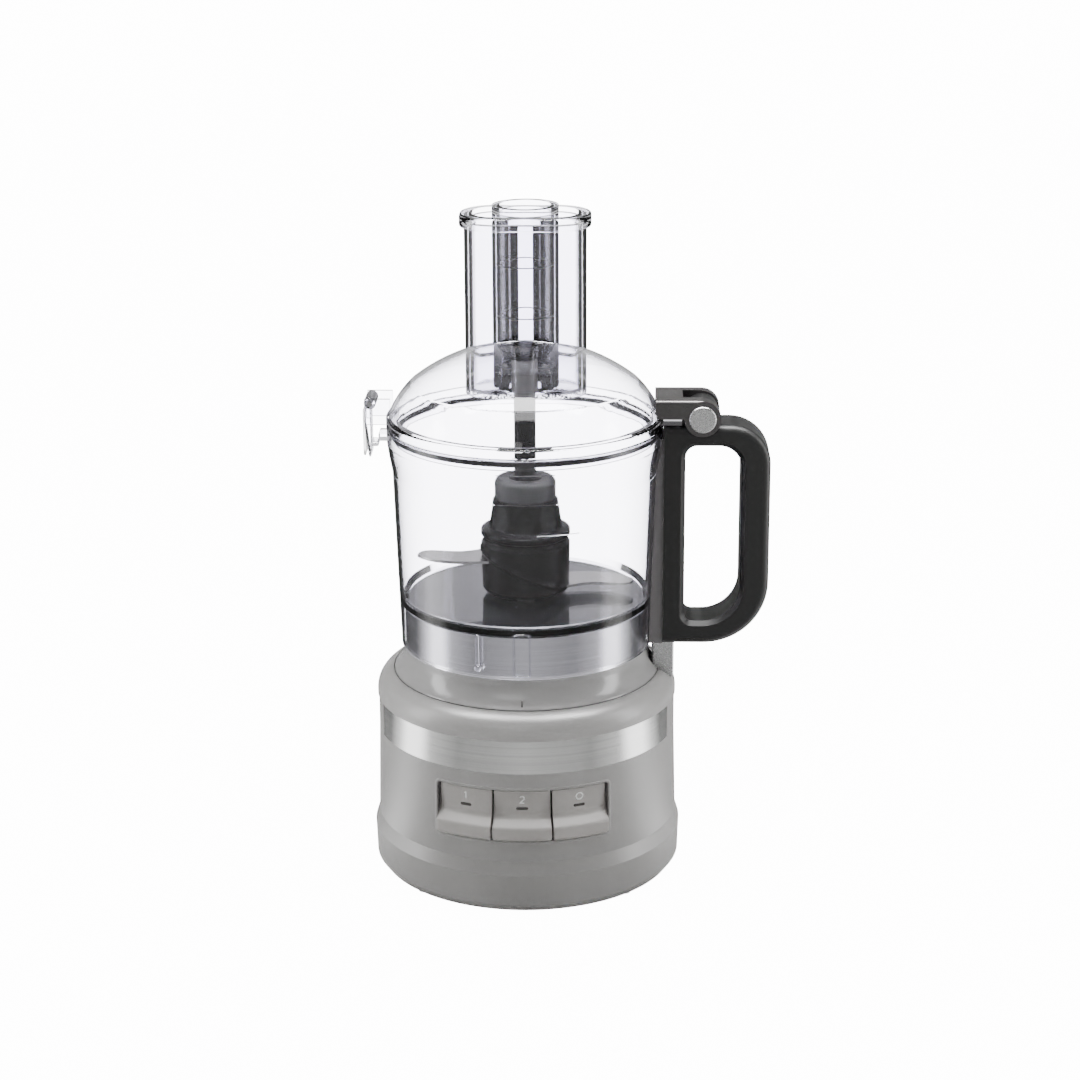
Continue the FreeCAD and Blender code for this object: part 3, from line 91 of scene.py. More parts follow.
class FinishSettings(bpy.types.PropertyGroup):
    """Colours of the finishes."""

    housing: FloatVectorProperty(
        name="Housing", description="Satin warm grey of the base",
        subtype="COLOR", size=3, default=(0.33, 0.325, 0.32), min=0.0, max=1.0)
    keys: FloatVectorProperty(
        name="Keys", description="Satin grey of the keys",
        subtype="COLOR", size=3, default=(0.43, 0.415, 0.40), min=0.0, max=1.0)
    neck: FloatVectorProperty(
        name="Neck", description="Glossy grey of the neck collar",
        subtype="COLOR", size=3, default=(0.34, 0.335, 0.335), min=0.0, max=1.0)
    grip: FloatVectorProperty(
        name="Grip", description="Fine textured black of the grip",
        subtype="COLOR", size=3, default=(0.012, 0.012, 0.012), min=0.0, max=1.0)
    clear_tint: FloatVectorProperty(
        name="Clear tint", description="Faint violet of the thick clear plastic",
        subtype="COLOR", size=3, default=(0.93, 0.925, 0.97), min=0.0, max=1.0)


class ShapeSettings(bpy.types.PropertyGroup):
    """Sizes of the finer shapes."""

    key_edge: FloatProperty(
        name="Key edge", description="Rounding of the keys' side edges",
        default=0.9 * MM, min=0.0, unit="LENGTH")
    oval_depth: FloatProperty(
        name="Oval depth", description="Depth in millimetres of the hub's oval hollows",
        default=1.5, min=0.0)
    ridge: FloatProperty(
        name="Ridge", description="Height in millimetres of the hub's sloping ridge",
        default=1.0, min=0.0)


# ------------------------------------------------------------------ surfaces
def grid_faces(rows, cols, close_rows=False, close_cols=False, offset=0):
    """Quads between neighbouring rows and columns of a grid of points."""
    i = np.arange(rows if close_rows else rows - 1)
    j = np.arange(cols if close_cols else cols - 1)
    a, b = np.meshgrid(i, j, indexing="ij")
    c, d = (a + 1) % rows, (b + 1) % cols
    quads = np.stack([a * cols + b, c * cols + b, c * cols + d, a * cols + d], axis=-1)
    return quads.reshape(-1, 4) + offset


def make_piece(name, grids, body, sharp_degrees=34.0, replaces=()):
    """A mesh piece from grids of points; each grid is (points, close_rows, close_cols)."""
    points, quads, offset = [], [], 0
    for grid, close_rows, close_cols in grids:
        rows, cols = grid.shape[:2]
        quads.append(grid_faces(rows, cols, close_rows, close_cols, offset))
        points.append(grid.reshape(-1, 3))
        offset += rows * cols
    points, quads = np.concatenate(points), np.concatenate(quads)
    mesh = bpy.data.meshes.new(name)
    mesh.vertices.add(len(points))
    mesh.vertices.foreach_set("co", points.astype(np.float32).ravel())
    mesh.loops.add(quads.size)
    mesh.loops.foreach_set("vertex_index", quads.ravel().astype(np.int32))
    mesh.polygons.add(len(quads))
    mesh.polygons.foreach_set("loop_start", np.arange(0, quads.size, 4, dtype=np.int32))
    mesh.update(calc_edges=True)
    clean = bmesh.new()
    clean.from_mesh(mesh)
    bmesh.ops.remove_doubles(clean, verts=clean.verts, dist=2e-6)
    bmesh.ops.dissolve_degenerate(clean, edges=clean.edges, dist=1e-7)
    bmesh.ops.recalc_face_normals(clean, faces=clean.faces)
    limit = math.radians(sharp_degrees)
    for edge in clean.edges:
        edge.smooth = len(edge.link_faces) == 2 and edge.calc_face_angle(0.0) < limit
    for face in clean.faces:
        face.smooth = True
    clean.to_mesh(mesh)
    clean.free()
    piece = bpy.data.objects.new(name, mesh)
    bpy.context.scene.collection.objects.link(piece)
    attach(piece, body)
    if replaces:
        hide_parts(*replaces)
    return piece


def rounded(corners, steps=6):
    """A polyline whose (x, z, radius) corners are turned into arcs; a closed outline."""
    corners = np.array(corners, float)
    line = []
    count = len(corners)
    for k in range(count):
        here, radius = corners[k, :2], corners[k, 2]
        back = corners[k - 1, :2] - here
        ahead = corners[(k + 1) % count, :2] - here
        long_back, long_ahead = np.linalg.norm(back), np.linalg.norm(ahead)
        back, ahead = back / long_back, ahead / long_ahead
        half = math.acos(float(np.clip(back @ ahead, -1, 1))) / 2
        reach = min(radius / max(math.tan(half), 1e-6), 0.49 * min(long_back, long_ahead))
        if radius <= 0 or reach < 1e-7:
            line.append(here[None])
            continue
        t = np.linspace(0, 1, steps + 1)[:, None]
        start, end = here + back * reach, here + ahead * reach
        weight = math.sin(half)
        low = (1 - t) ** 2 + 2 * weight * t * (1 - t) + t ** 2
        line.append(((1 - t) ** 2 * start + 2 * weight * t * (1 - t) * here + t ** 2 * end) / low)
    return np.concatenate(line)


def lathe(outline, segments=192, centre=(0.0, 0.0)):
    """Points (r, z) of a closed outline carried round the Z axis: x = r sin a, y = -r cos a."""
    angle = np.linspace(0, 2 * math.pi, segments, endpoint=False)
    r, z = outline[:, 0][:, None], outline[:, 1][:, None]
    x = centre[0] + r * np.sin(angle)[None]
    y = centre[1] - r * np.cos(angle)[None]
    return np.stack([x, y, np.broadcast_to(z, x.shape)], axis=-1), True, True


# ------------------------------------------------------------------ finishes
def new_group(name, inputs, outputs):
    """An empty shader node group with named float or colour sockets."""
    group = bpy.data.node_groups.new(name, "ShaderNodeTree")
    for label, kind, value in inputs:
        socket = group.interface.new_socket(label, in_out="INPUT", socket_type=kind)
        socket.default_value = value
    for label, kind in outputs:
        group.interface.new_socket(label, in_out="OUTPUT", socket_type=kind)
    return group, group.nodes.new("NodeGroupInput"), group.nodes.new("NodeGroupOutput")


def add(tree, kind, **values):
    """A node whose attributes and input sockets are set by name."""
    node = tree.nodes.new(kind)
    for key, value in values.items():
        if key in node.inputs:
            node.inputs[key].default_value = value
        else:
            setattr(node, key, value)
    return node


def moulded_grain_group():
    """Fine spark-eroded grain of moulded plastic, with slow patches of gloss."""
    group, start, end = new_group(
        "moulded_grain", [("Scale", "NodeSocketFloat", 900.0), ("Patch", "NodeSocketFloat", 14.0)],
        [("Height", "NodeSocketFloat"), ("Patches", "NodeSocketFloat")])
    link = group.links.new
    place = add(group, "ShaderNodeTexCoord")
    fine = add(group, "ShaderNodeTexNoise", Detail=3.0, Roughness=0.6)
    slow = add(group, "ShaderNodeTexNoise", Detail=2.0, Roughness=0.5)
    link(place.outputs["Object"], fine.inputs["Vector"])
    link(place.outputs["Object"], slow.inputs["Vector"])
    link(start.outputs["Scale"], fine.inputs["Scale"])
    link(start.outputs["Patch"], slow.inputs["Scale"])
    link(fine.outputs["Fac"], end.inputs["Height"])
    link(slow.outputs["Fac"], end.inputs["Patches"])
    return group


def turned_brushing_group():
    """Hairlines that run round the Z axis: noise that is long sideways and short in Z."""
    group, start, end = new_group(
        "turned_brushing", [("Lines", "NodeSocketFloat", 2600.0), ("Length", "NodeSocketFloat", 9.0)],
        [("Height", "NodeSocketFloat"), ("Streaks", "NodeSocketFloat")])
    link = group.links.new
    place = add(group, "ShaderNodeTexCoord")
    parts = add(group, "ShaderNodeSeparateXYZ")
    link(place.outputs["Object"], parts.inputs[0])
    joined = add(group, "ShaderNodeCombineXYZ")
    for axis, factor in (("X", "Length"), ("Y", "Length"), ("Z", "Lines")):
        times = add(group, "ShaderNodeMath", operation="MULTIPLY")
        link(parts.outputs[axis], times.inputs[0])
        link(start.outputs[factor], times.inputs[1])
        link(times.outputs[0], joined.inputs[axis])
    fine = add(group, "ShaderNodeTexNoise", Scale=1.0, Detail=4.0, Roughness=0.7)
    link(joined.outputs[0], fine.inputs["Vector"])
    link(fine.outputs["Fac"], end.inputs["Height"])
    wide = add(group, "ShaderNodeTexNoise", Scale=0.23, Detail=2.0, Roughness=0.6)
    link(joined.outputs[0], wide.inputs["Vector"])
    link(wide.outputs["Fac"], end.inputs["Streaks"])
    return group


def clear_marks_group():
    """Faint smears and specks that clear moulded plastic picks up in use."""
    group, start, end = new_group(
        "clear_marks", [("Scale", "NodeSocketFloat", 30.0)],
        [("Haze", "NodeSocketFloat"), ("Height", "NodeSocketFloat")])
    link = group.links.new
    place = add(group, "ShaderNodeTexCoord")
    smear = add(group, "ShaderNodeTexNoise", Detail=5.0, Roughness=0.65, Distortion=0.6)
    wave = add(group, "ShaderNodeTexNoise", Scale=11.0, Detail=1.0, Roughness=0.4)
    link(place.outputs["Object"], smear.inputs["Vector"])
    link(place.outputs["Object"], wave.inputs["Vector"])
    link(start.outputs["Scale"], smear.inputs["Scale"])
    link(smear.outputs["Fac"], end.inputs["Haze"])
    link(wave.outputs["Fac"], end.inputs["Height"])
    return group


GROUPS = {}


def group_node(tree, name, **values):
    """Places a shared group in a material, building the group the first time."""
    makers = {"moulded_grain": moulded_grain_group, "turned_brushing": turned_brushing_group,
              "clear_marks": clear_marks_group}
    if name not in GROUPS:
        GROUPS[name] = makers[name]()
    node = tree.nodes.new("ShaderNodeGroup")
    node.node_tree = GROUPS[name]
    for key, value in values.items():
        node.inputs[key].default_value = value
    return node


def blank_material(name):
    material = bpy.data.materials.new(name)
    material.use_nodes = True
    tree = material.node_tree
    return material, tree, tree.nodes["Principled BSDF"]


def remap(tree, source, low, high):
    """Spreads the middle of a noise value over low to high."""
    node = add(tree, "ShaderNodeMapRange")
    node.inputs["From Min"].default_value = 0.3
    node.inputs["From Max"].default_value = 0.7
    node.inputs["To Min"].default_value = low
    node.inputs["To Max"].default_value = high
    tree.links.new(source, node.inputs["Value"])
    return node.outputs["Result"]


def bump(tree, source, shader, strength, distance):
    node = add(tree, "ShaderNodeBump", Strength=strength, Distance=distance)
    tree.links.new(source, node.inputs["Height"])
    tree.links.new(node.outputs["Normal"], shader.inputs["Normal"])
    return node


def two_tone(tree, source, colour, spread, shader):
    """Lets the colour drift a little lighter and darker with a mask."""
    ramp = add(tree, "ShaderNodeValToRGB")
    ramp.color_ramp.elements[0].position = 0.3
    ramp.color_ramp.elements[1].position = 0.7
    ramp.color_ramp.elements[0].color = (*[c * (1 - spread) for c in colour], 1)
    ramp.color_ramp.elements[1].color = (*[min(1, c * (1 + spread)) for c in colour], 1)
    tree.links.new(source, ramp.inputs["Fac"])
    tree.links.new(ramp.outputs["Color"], shader.inputs["Base Color"])


def plastic(name, colour, rough, grain=900.0, depth=0.00002, coat=0.0, spread=0.03, level=0.5,
            coat_rough=0.08):
    """Moulded plastic: even colour, fine grain, slow gloss patches."""
    material, tree, shader = blank_material(name)
    marks = group_node(tree, "moulded_grain", Scale=grain)
    two_tone(tree, marks.outputs["Patches"], colour, spread, shader)
    tree.links.new(remap(tree, marks.outputs["Patches"], rough * 0.9, rough * 1.1),
                   shader.inputs["Roughness"])
    bump(tree, marks.outputs["Height"], shader, 0.35, depth)
    shader.inputs["Coat Weight"].default_value = coat
    shader.inputs["Coat Roughness"].default_value = coat_rough
    shader.inputs["Specular IOR Level"].default_value = level
    return material


def brushed_metal(name, colour, rough, lines=2600.0, depth=0.00001, aniso=0.6):
    """Metal brushed round the Z axis, with stretched highlights."""
    material, tree, shader = blank_material(name)
    marks = group_node(tree, "turned_brushing", Lines=lines)
    two_tone(tree, marks.outputs["Streaks"], colour, 0.06, shader)
    tree.links.new(remap(tree, marks.outputs["Height"], rough * 0.75, rough * 1.25),
                   shader.inputs["Roughness"])
    bump(tree, marks.outputs["Height"], shader, 0.25, depth)
    shader.inputs["Metallic"].default_value = 1.0
    shader.inputs["Anisotropic"].default_value = aniso
    shader.inputs["Anisotropic Rotation"].default_value = 0.25
    tangent = add(tree, "ShaderNodeTangent", direction_type="RADIAL", axis="Z")
    tree.links.new(tangent.outputs[0], shader.inputs["Tangent"])
    return material


def plain_metal(name, colour, rough, depth=0.00001, spread=0.05):
    """Machined, ground or painted metal with faint tool marks."""
    material, tree, shader = blank_material(name)
    marks = group_node(tree, "moulded_grain", Scale=1400.0, Patch=40.0)
    two_tone(tree, marks.outputs["Patches"], colour, spread, shader)
    tree.links.new(remap(tree, marks.outputs["Height"], rough * 0.8, rough * 1.2),
                   shader.inputs["Roughness"])
    bump(tree, marks.outputs["Height"], shader, 0.2, depth)
    shader.inputs["Metallic"].default_value = 1.0
    return material


def clear_plastic(name, colour, rough=0.02, haze=0.02):
    """Clear copolyester with a faint tint and hardly visible smears."""
    material, tree, shader = blank_material(name)
    marks = group_node(tree, "clear_marks", Scale=26.0)
    tree.links.new(remap(tree, marks.outputs["Haze"], rough, rough + haze),
                   shader.inputs["Roughness"])
    shader.inputs["Base Color"].default_value = (*colour, 1)
    shader.inputs["Transmission Weight"].default_value = 1.0
    shader.inputs["IOR"].default_value = 1.45
    bump(tree, marks.outputs["Height"], shader, 0.04, 0.0002)
    return material


def between(tree, value, low, high):
    """One where a value lies between two limits."""
    result = None
    for limit, kind in ((low, "GREATER_THAN"), (high, "LESS_THAN")):
        test = add(tree, "ShaderNodeMath", operation=kind)
        tree.links.new(value, test.inputs[0])
        test.inputs[1].default_value = limit
        if result is not None:
            both = add(tree, "ShaderNodeMath", operation="MULTIPLY")
            tree.links.new(result, both.inputs[0])
            tree.links.new(test.outputs[0], both.inputs[1])
            result = both.outputs[0]
        else:
            result = test.outputs[0]
    return result


def stippled_lid(name, colour):
    """Clear plastic with a band of fine dots round the foot of the feed tube."""
    material = clear_plastic(name, colour)
    tree = material.node_tree
    shader = tree.nodes["Principled BSDF"]
    place = add(tree, "ShaderNodeTexCoord")
    parts = add(tree, "ShaderNodeSeparateXYZ")
    tree.links.new(place.outputs["Object"], parts.inputs[0])
    mask = between(tree, parts.outputs["Z"], 0.2815, 0.2862)
    for axis, low, high in (("X", -0.0365, 0.0365), ("Y", 0.0075, 0.0530)):
        both = add(tree, "ShaderNodeMath", operation="MULTIPLY")
        tree.links.new(mask, both.inputs[0])
        tree.links.new(between(tree, parts.outputs[axis], low, high), both.inputs[1])
        mask = both.outputs[0]
    dots = add(tree, "ShaderNodeTexVoronoi", Scale=620.0)
    tree.links.new(place.outputs["Object"], dots.inputs["Vector"])
    spot = between(tree, dots.outputs["Distance"], -1.0, 0.42)
    both = add(tree, "ShaderNodeMath", operation="MULTIPLY")
    tree.links.new(mask, both.inputs[0])
    tree.links.new(spot, both.inputs[1])
    mix = add(tree, "ShaderNodeMix", data_type="FLOAT")
    old = shader.inputs["Roughness"].links[0].from_socket
    tree.links.new(both.outputs[0], mix.inputs["Factor"])
    tree.links.new(old, mix.inputs["A"])
    mix.inputs["B"].default_value = 0.6
    tree.links.new(mix.outputs["Result"], shader.inputs["Roughness"])
    return material


def finishes(settings):
    """Every material, by the name of its finish."""
    housing, keys = tuple(settings.housing), tuple(settings.keys)
    clear = tuple(settings.clear_tint)
    return {
        "housing": plastic("housing_satin", housing, 0.38, coat=0.7, coat_rough=0.3),
        # The shoulder has the housing's colour made 18 per cent lighter: painted light for the
        # upward-facing shoulder that catches the lamps from above.
        "shoulder": plastic("shoulder_satin_painted_light", tuple(c * 1.18 for c in housing), 0.34, coat=0.5,
                            coat_rough=0.3),
        "neck": plastic("neck_gloss", tuple(settings.neck), 0.22, grain=500.0, coat=0.4),
        "keys": plastic("key_satin", keys, 0.36, coat=0.1),
        "lens": plastic("indicator_lens", (0.05, 0.045, 0.042), 0.25, grain=400.0, coat=0.5),
        "grip": plastic("grip_black", tuple(settings.grip), 0.42, grain=1300.0, depth=0.00004),
        "hub": plastic("hub_black", (0.006, 0.006, 0.006), 0.34, grain=1500.0, depth=0.000006,
                       level=0.12),
        "cap": plastic("cap_grey", (0.07, 0.07, 0.07), 0.5, grain=1200.0, depth=0.00004),
        "spine": plastic("spine_grey", (0.20, 0.19, 0.195), 0.35, coat=0.2),
        "inner": plastic("inner_black", (0.03, 0.03, 0.032), 0.5),
        "board": plastic("circuit_board", (0.01, 0.10, 0.03), 0.3, coat=0.5, spread=0.2),
        "seal": plastic("seal_rubber", (0.012, 0.012, 0.013), 0.5, grain=600.0),
        "foot": plastic("foot_rubber", (0.02, 0.02, 0.02), 0.75, grain=700.0, depth=0.00006),
        "belt": plastic("belt_rubber", (0.015, 0.015, 0.015), 0.65, grain=1800.0, depth=0.00006),
        "band": brushed_metal("band_brushed", (0.86, 0.86, 0.85), 0.2, aniso=0.8),
        "pedestal": brushed_metal("pedestal_brushed", (0.80, 0.80, 0.81), 0.22, aniso=0.8),
        "blade": plain_metal("blade_ground", (0.52, 0.51, 0.50), 0.22),
        "steel": plain_metal("machined_steel", (0.45, 0.45, 0.46), 0.30),
        "silver": plain_metal("silver_satin", (0.62, 0.62, 0.62), 0.28),
        "arm": plain_metal("arm_metallic", (0.13, 0.125, 0.125), 0.33),
        "copper": plain_metal("enamelled_copper", (0.55, 0.22, 0.08), 0.35, spread=0.2),
        "cast": plain_metal("die_cast", (0.48, 0.48, 0.49), 0.5, depth=0.00005),
        "clear": clear_plastic("clear_copolyester", clear),
        "clear_lid": stippled_lid("clear_lid", clear),
        "frosted": clear_plastic("frosted_plastic", (0.94, 0.94, 0.95), rough=0.28, haze=0.12),
        "seam": plastic("seam_shadow", (0.06, 0.058, 0.056), 0.5, grain=700.0),
        "bush": plastic("bush_grey", (0.30, 0.295, 0.29), 0.35, grain=1100.0, coat=0.2),
        "printed": plastic("printed_mark", (0.85, 0.85, 0.84), 0.5, grain=1500.0, depth=0.000004),
    }


NODE_FINISH = {
    "housing": ("base_housing", "key_bezel", "base_plate"),
    "shoulder": ("shoulder_cover",),
    "neck": ("neck_collar",),
    "keys": ("key_one", "key_two", "key_pulse"),
    "lens": ("key_one_lens", "key_two_lens", "key_pulse_lens"),
    "grip": ("handle_grip",),
    "bush": ("lid_hub_bush",),
    "hub": ("blade_hub", "drive_adapter"),
    "cap": ("blade_cap",),
    "spine": ("handle_spine",),
    "inner": ("pedestal_core", "motor_end_frames", "cooling_fan", "tact_switches",
              "interlock_switch", "motor_pulley", "spindle_pulley", "interlock_rod"),
    "board": ("control_board",),
    "seal": ("lid_seal", "spindle_seal"),
    "foot": ("rubber_feet", "cord_gland"),
    "belt": ("drive_belt",),
    "band": ("trim_band",),
    "pedestal": ("pedestal_sleeve",),
    "blade": ("upper_blade", "lower_blade"),
    "steel": ("drive_spindle", "rotor_shaft", "spindle_bearings", "retaining_ring",
              "base_screws", "key_pins", "hinge_pin", "handle_screws", "latch_pin",
              "interlock_spring", "motor_stator", "rotor_core"),
    "silver": ("hinge_caps", "handle_foot"),
    "arm": ("hinge_arm",),
    "copper": ("field_coils", "commutator", "brush_gear"),
    "cast": ("motor_chassis",),
    "clear": ("bowl", "large_pusher", "small_pusher", "latch_lever"),
    "clear_lid": ("lid",),
    "frosted": ("latch_plate",),
}

FINISHES = {}


def coat_piece(piece, finish):
    """Gives a piece one finish."""
    piece.data.materials.clear()
    piece.data.materials.append(FINISHES[finish])
    return piece


# ------------------------------------------------------------------ shaping
def resample(outline, step):
    """Points every step or closer along a closed outline, corners kept."""
    ahead = np.roll(outline, -1, axis=0)
    parts = []
    for here, there in zip(outline, ahead):
        count = max(1, int(math.ceil(np.linalg.norm(there - here) / step)))
        t = np.arange(count)[:, None] / count
        parts.append(here * (1 - t) + there * t)
    return np.concatenate(parts)


def prism(profile, half, edge, place, spans=24):
    """A closed profile carried from -half to +half, its two ends rounded by edge.

    The end stations shrink towards the profile's centre as edge * (1 - sin t) while
    they move inwards by edge * (1 - cos t), and each end closes on the centre point.
    """
    centre = (profile.min(axis=0) + profile.max(axis=0)) / 2
    reach = np.abs(profile - centre).max()
    t = np.linspace(0, math.pi / 2, 6)
    along = half - edge * (1 - np.cos(t))
    scale = 1 - edge * (1 - np.sin(t)) / reach
    middle = np.linspace(-along[-1], along[-1], spans + 2)[1:-1]
    stations = np.concatenate([[-half], -along, middle, along[::-1], [half]])
    scales = np.concatenate([[0.0], scale, np.ones(spans), scale[::-1], [0.0]])
    flat = centre + scales[:, None, None] * (profile - centre)[None]
    grid = place(stations[:, None], flat[..., 0], flat[..., 1])
    return np.stack(np.broadcast_arrays(*grid), axis=-1), False, True


def round_axis(degrees):
    """Places (arc length, r, z) round the Z axis, centred on an azimuth."""
    def place(s, r, z):
        a = math.radians(degrees) + s / REFERENCE_R
        return r * np.sin(a), -r * np.cos(a), z
    return place


def across_y(s, x, z):
    """Places a profile in the XZ plane at y = s."""
    return x, s, z


def ribbon(path, outward, half_width, height, closed=False, sides=12):
    """A rounded strip along a path: an ellipse half_width by height round each point.

    The ellipse stands in the plane of outward and of outward x tangent; open ends
    shrink to a point over the last stations.
    """
    tangent = np.gradient(path, axis=0)
    if closed:
        tangent = np.roll(path, -1, axis=0) - np.roll(path, 1, axis=0)
    tangent /= np.linalg.norm(tangent, axis=1, keepdims=True)
    side = np.cross(outward, tangent)
    side /= np.linalg.norm(side, axis=1, keepdims=True)
    angle = np.linspace(0, 2 * math.pi, sides, endpoint=False)
    size = np.ones(len(path))
    if not closed:
        size[0] = size[-1] = 0.0
    ring = (side[:, None] * (half_width * np.cos(angle))[None, :, None]
            + outward[:, None] * (height * np.sin(angle))[None, :, None])
    return path[:, None] + ring * size[:, None, None], closed, True


def on_round(degrees, arc_mm, radius, z):
    """Points at arc lengths from an azimuth, and the outward directions there."""
    arc_mm, radius, z = np.broadcast_arrays(np.asarray(arc_mm, float), radius, z)
    a = math.radians(degrees) + arc_mm / radius
    out = np.stack([np.sin(a), -np.cos(a), np.zeros_like(a)], axis=-1)
    points = out * radius[:, None] * MM
    points[:, 2] = z * MM
    return points, out


def dense(points, step=0.35):
    """A polyline of (u, v) points with extra points along its straights."""
    points = np.array(points, float)
    parts = []
    for here, there in zip(points[:-1], points[1:]):
        count = max(2, int(np.linalg.norm(there - here) / step))
        parts.append(here + (there - here) * np.linspace(0, 1, count, endpoint=False)[:, None])
    return np.concatenate(parts + [points[-1:]])


# ------------------------------------------------------------------ pieces
REFERENCE_R = 88.0 * MM
KEYS = (("key_one", -22.2), ("key_two", 0.0), ("key_pulse", 22.2))
KEY_HALF_ANGLE = 10.71   # degrees from a key's centre line to its side
KEY_FACE = ((87.24, 76.3), (86.31, 59.5))
SLOT_Z = 65.0
SLOT_R = 0.9             # half the height of an indicator slot
MARK_Z = 70.6
LEVEL_Z = 226.0
BAR_AZIMUTH = -20.0      # of the bayonet bar on the bowl's skirt
BOWL_WALL = ((139, 188, 244, 255, 262, 271), (74.0, 75.7, 77.5, 79.5, 80.5, 80.5))
CUP_CENTRE_Y = 30.2      # axis of the small pusher


def key_face_radius(z):
    """Radius of the slanting panel at a height."""
    (top_r, top_z), (low_r, low_z) = KEY_FACE
    return top_r + (low_r - top_r) * (np.asarray(z) - top_z) / (low_z - top_z)


def make_key(name, degrees, edge):
    """Key: panel, swept-out finger lip and soft edges, as one profile carried round."""
    corners = [(87.24, 76.3, 0.9), (86.31, 60.0, 4.5), (92.5, 54.3, 2.4), (92.4, 47.6, 1.6),
               (90.6, 46.1, 1.2), (84.0, 46.1, 0.5), (84.0, 76.3, 0.5)]
    profile = resample(rounded([(r * MM, z * MM, c * MM) for r, z, c in corners], 8), 1.2 * MM)
    half = math.radians(KEY_HALF_ANGLE) * REFERENCE_R
    return make_piece(name + "_face", [prism(profile, half, edge, round_axis(degrees), 30)], name,
                      replaces=(name,))


def make_lens(name, degrees):
    """Indicator slot: a stadium laid flush in the panel."""
    t = np.linspace(0, 2 * math.pi, 48, endpoint=False)
    u = 2.6 * np.sign(np.cos(t)) * (np.abs(np.cos(t)) > 1e-9) + SLOT_R * np.cos(t)
    v = SLOT_Z + SLOT_R * np.sin(t)
    rings = []
    for share, lift in ((0.0, 0.16), (0.55, 0.16), (0.9, 0.12), (1.0, 0.02), (1.0, -0.5)):
        z = SLOT_Z + (v - SLOT_Z) * share
        points, _ = on_round(degrees, u * share, key_face_radius(z) + lift, z)
        rings.append(points)
    return make_piece(name + "_slot", [(np.stack(rings), False, True)], name,
                      replaces=(name + "_lens",))


def mark_strokes():
    """Strokes of the three marks in millimetres: a one, a two and a ring."""
    t = np.linspace(math.radians(160), math.radians(-38), 16)
    hook = np.stack([1.25 * np.cos(t), 0.95 + 1.2 * np.sin(t)], axis=-1)
    two = np.concatenate([hook, [[-1.3, -2.1], [1.45, -2.1]]])
    t = np.linspace(0, 2 * math.pi, 41)
    ring = np.stack([2.0 * np.cos(t), 2.0 * np.sin(t)], axis=-1)
    return ([[(-0.9, 1.4), (0.2, 2.2), (0.2, -2.2)]], [two], [ring])


def make_mark(name, degrees, strokes):
    """Printed mark above the slot, a hair proud of the panel."""
    grids = []
    for stroke in strokes:
        path = dense(stroke)
        z = MARK_Z + path[:, 1]
        points, out = on_round(degrees, path[:, 0], key_face_radius(z) + 0.03, z)
        grids.append(ribbon(points, out, 0.42 * MM, 0.07 * MM))
    return make_piece(name + "_mark", grids, name)


def make_window_border():
    """Soft raised border of the key window: a rounded oblong path wrapped on the wall."""
    half, low, high, corner = 53.4, 44.6, 77.6, 3.0
    outline = rounded([(-half, low, corner), (half, low, corner), (half, high, corner),
                       (-half, high, corner)], 10)
    path = resample(outline, 1.5)
    share = np.clip((path[:, 1] - 32.8) / 54.2, 0, 1)
    points, out = on_round(0.0, path[:, 0], 89.8 - 1.2 * share - 0.2, path[:, 1])
    return make_piece("key_window_border", [ribbon(points, out, 0.9 * MM, 0.45 * MM, True)], "base")


def make_seams():
    """Fine joint on the neck ring and the small notch mark at the front of it."""
    t = np.linspace(0, 2 * math.pi, 256, endpoint=False)
    path, out = on_round(0.0, t * 79.2, np.full(256, 79.15), np.full(256, 122.3))
    ring = ribbon(path, out, 0.32 * MM, 0.22 * MM, True, 8)
    z = np.linspace(123.8, 127.2, 12)
    tick_path, tick_out = on_round(0.0, np.zeros(12), 77.6 - 0.62 * (z - 123.8), z)
    return make_piece("neck_seam", [ring, ribbon(tick_path, tick_out, 0.5 * MM, 0.2 * MM)], "base")


def bowl_radius(z):
    """Outer radius of the bowl at a height."""
    return np.interp(z, *BOWL_WALL)


def make_bowl_marks():
    """Bayonet bar with its ball and the guide frame, both on the bowl's skirt."""
    z = np.linspace(145.0, 166.0, 24)
    bar, out = on_round(BAR_AZIMUTH, np.zeros(24), bowl_radius(z) + 0.1, z)
    grids = [ribbon(bar, out, 1.5 * MM, 0.9 * MM)]
    t, p = np.linspace(0, math.pi, 14)[:, None], np.linspace(0, 2 * math.pi, 24, endpoint=False)
    a = math.radians(BAR_AZIMUTH)
    centre = np.array([math.sin(a), -math.cos(a), 0.0]) * 74.3 + np.array([0, 0, 144.6])
    ball = 2.3 * np.stack(np.broadcast_arrays(
        np.sin(t) * np.cos(p), np.sin(t) * np.sin(p), np.cos(t)), axis=-1)
    grids.append(((centre + ball) * MM, False, True))
    frame_path = resample(rounded([(-4.7, 141.0, 1.0), (4.7, 141.0, 1.0), (4.7, 166.5, 1.0),
                                   (-4.7, 166.5, 1.0)], 6), 0.8)
    points, out = on_round(0.0, frame_path[:, 0], bowl_radius(frame_path[:, 1]) + 0.1,
                           frame_path[:, 1])
    grids.append(ribbon(points, out, 0.55 * MM, 0.5 * MM, True))
    return make_piece("bowl_skirt_marks", grids, "bowl")


def make_level_line():
    """Plain raised level line on the bowl's wall, right of the hub."""
    s = np.linspace(9.0, 34.0, 60)
    points, out = on_round(0.0, s, bowl_radius(LEVEL_Z) + 0.02, np.full(60, LEVEL_Z))
    return make_piece("bowl_level_line", [ribbon(points, out, 0.35 * MM, 0.25 * MM)], "bowl")


def make_bowl_rim():
    """Rolled bead round the top of the bowl."""
    t = np.linspace(0, 2 * math.pi, 16, endpoint=False)
    ring = np.stack([79.45 + 1.3 * np.cos(t), 270.6 + 0.75 * np.sin(t)], axis=-1) * MM
    return make_piece("bowl_rim_bead", [lathe(ring)], "bowl")


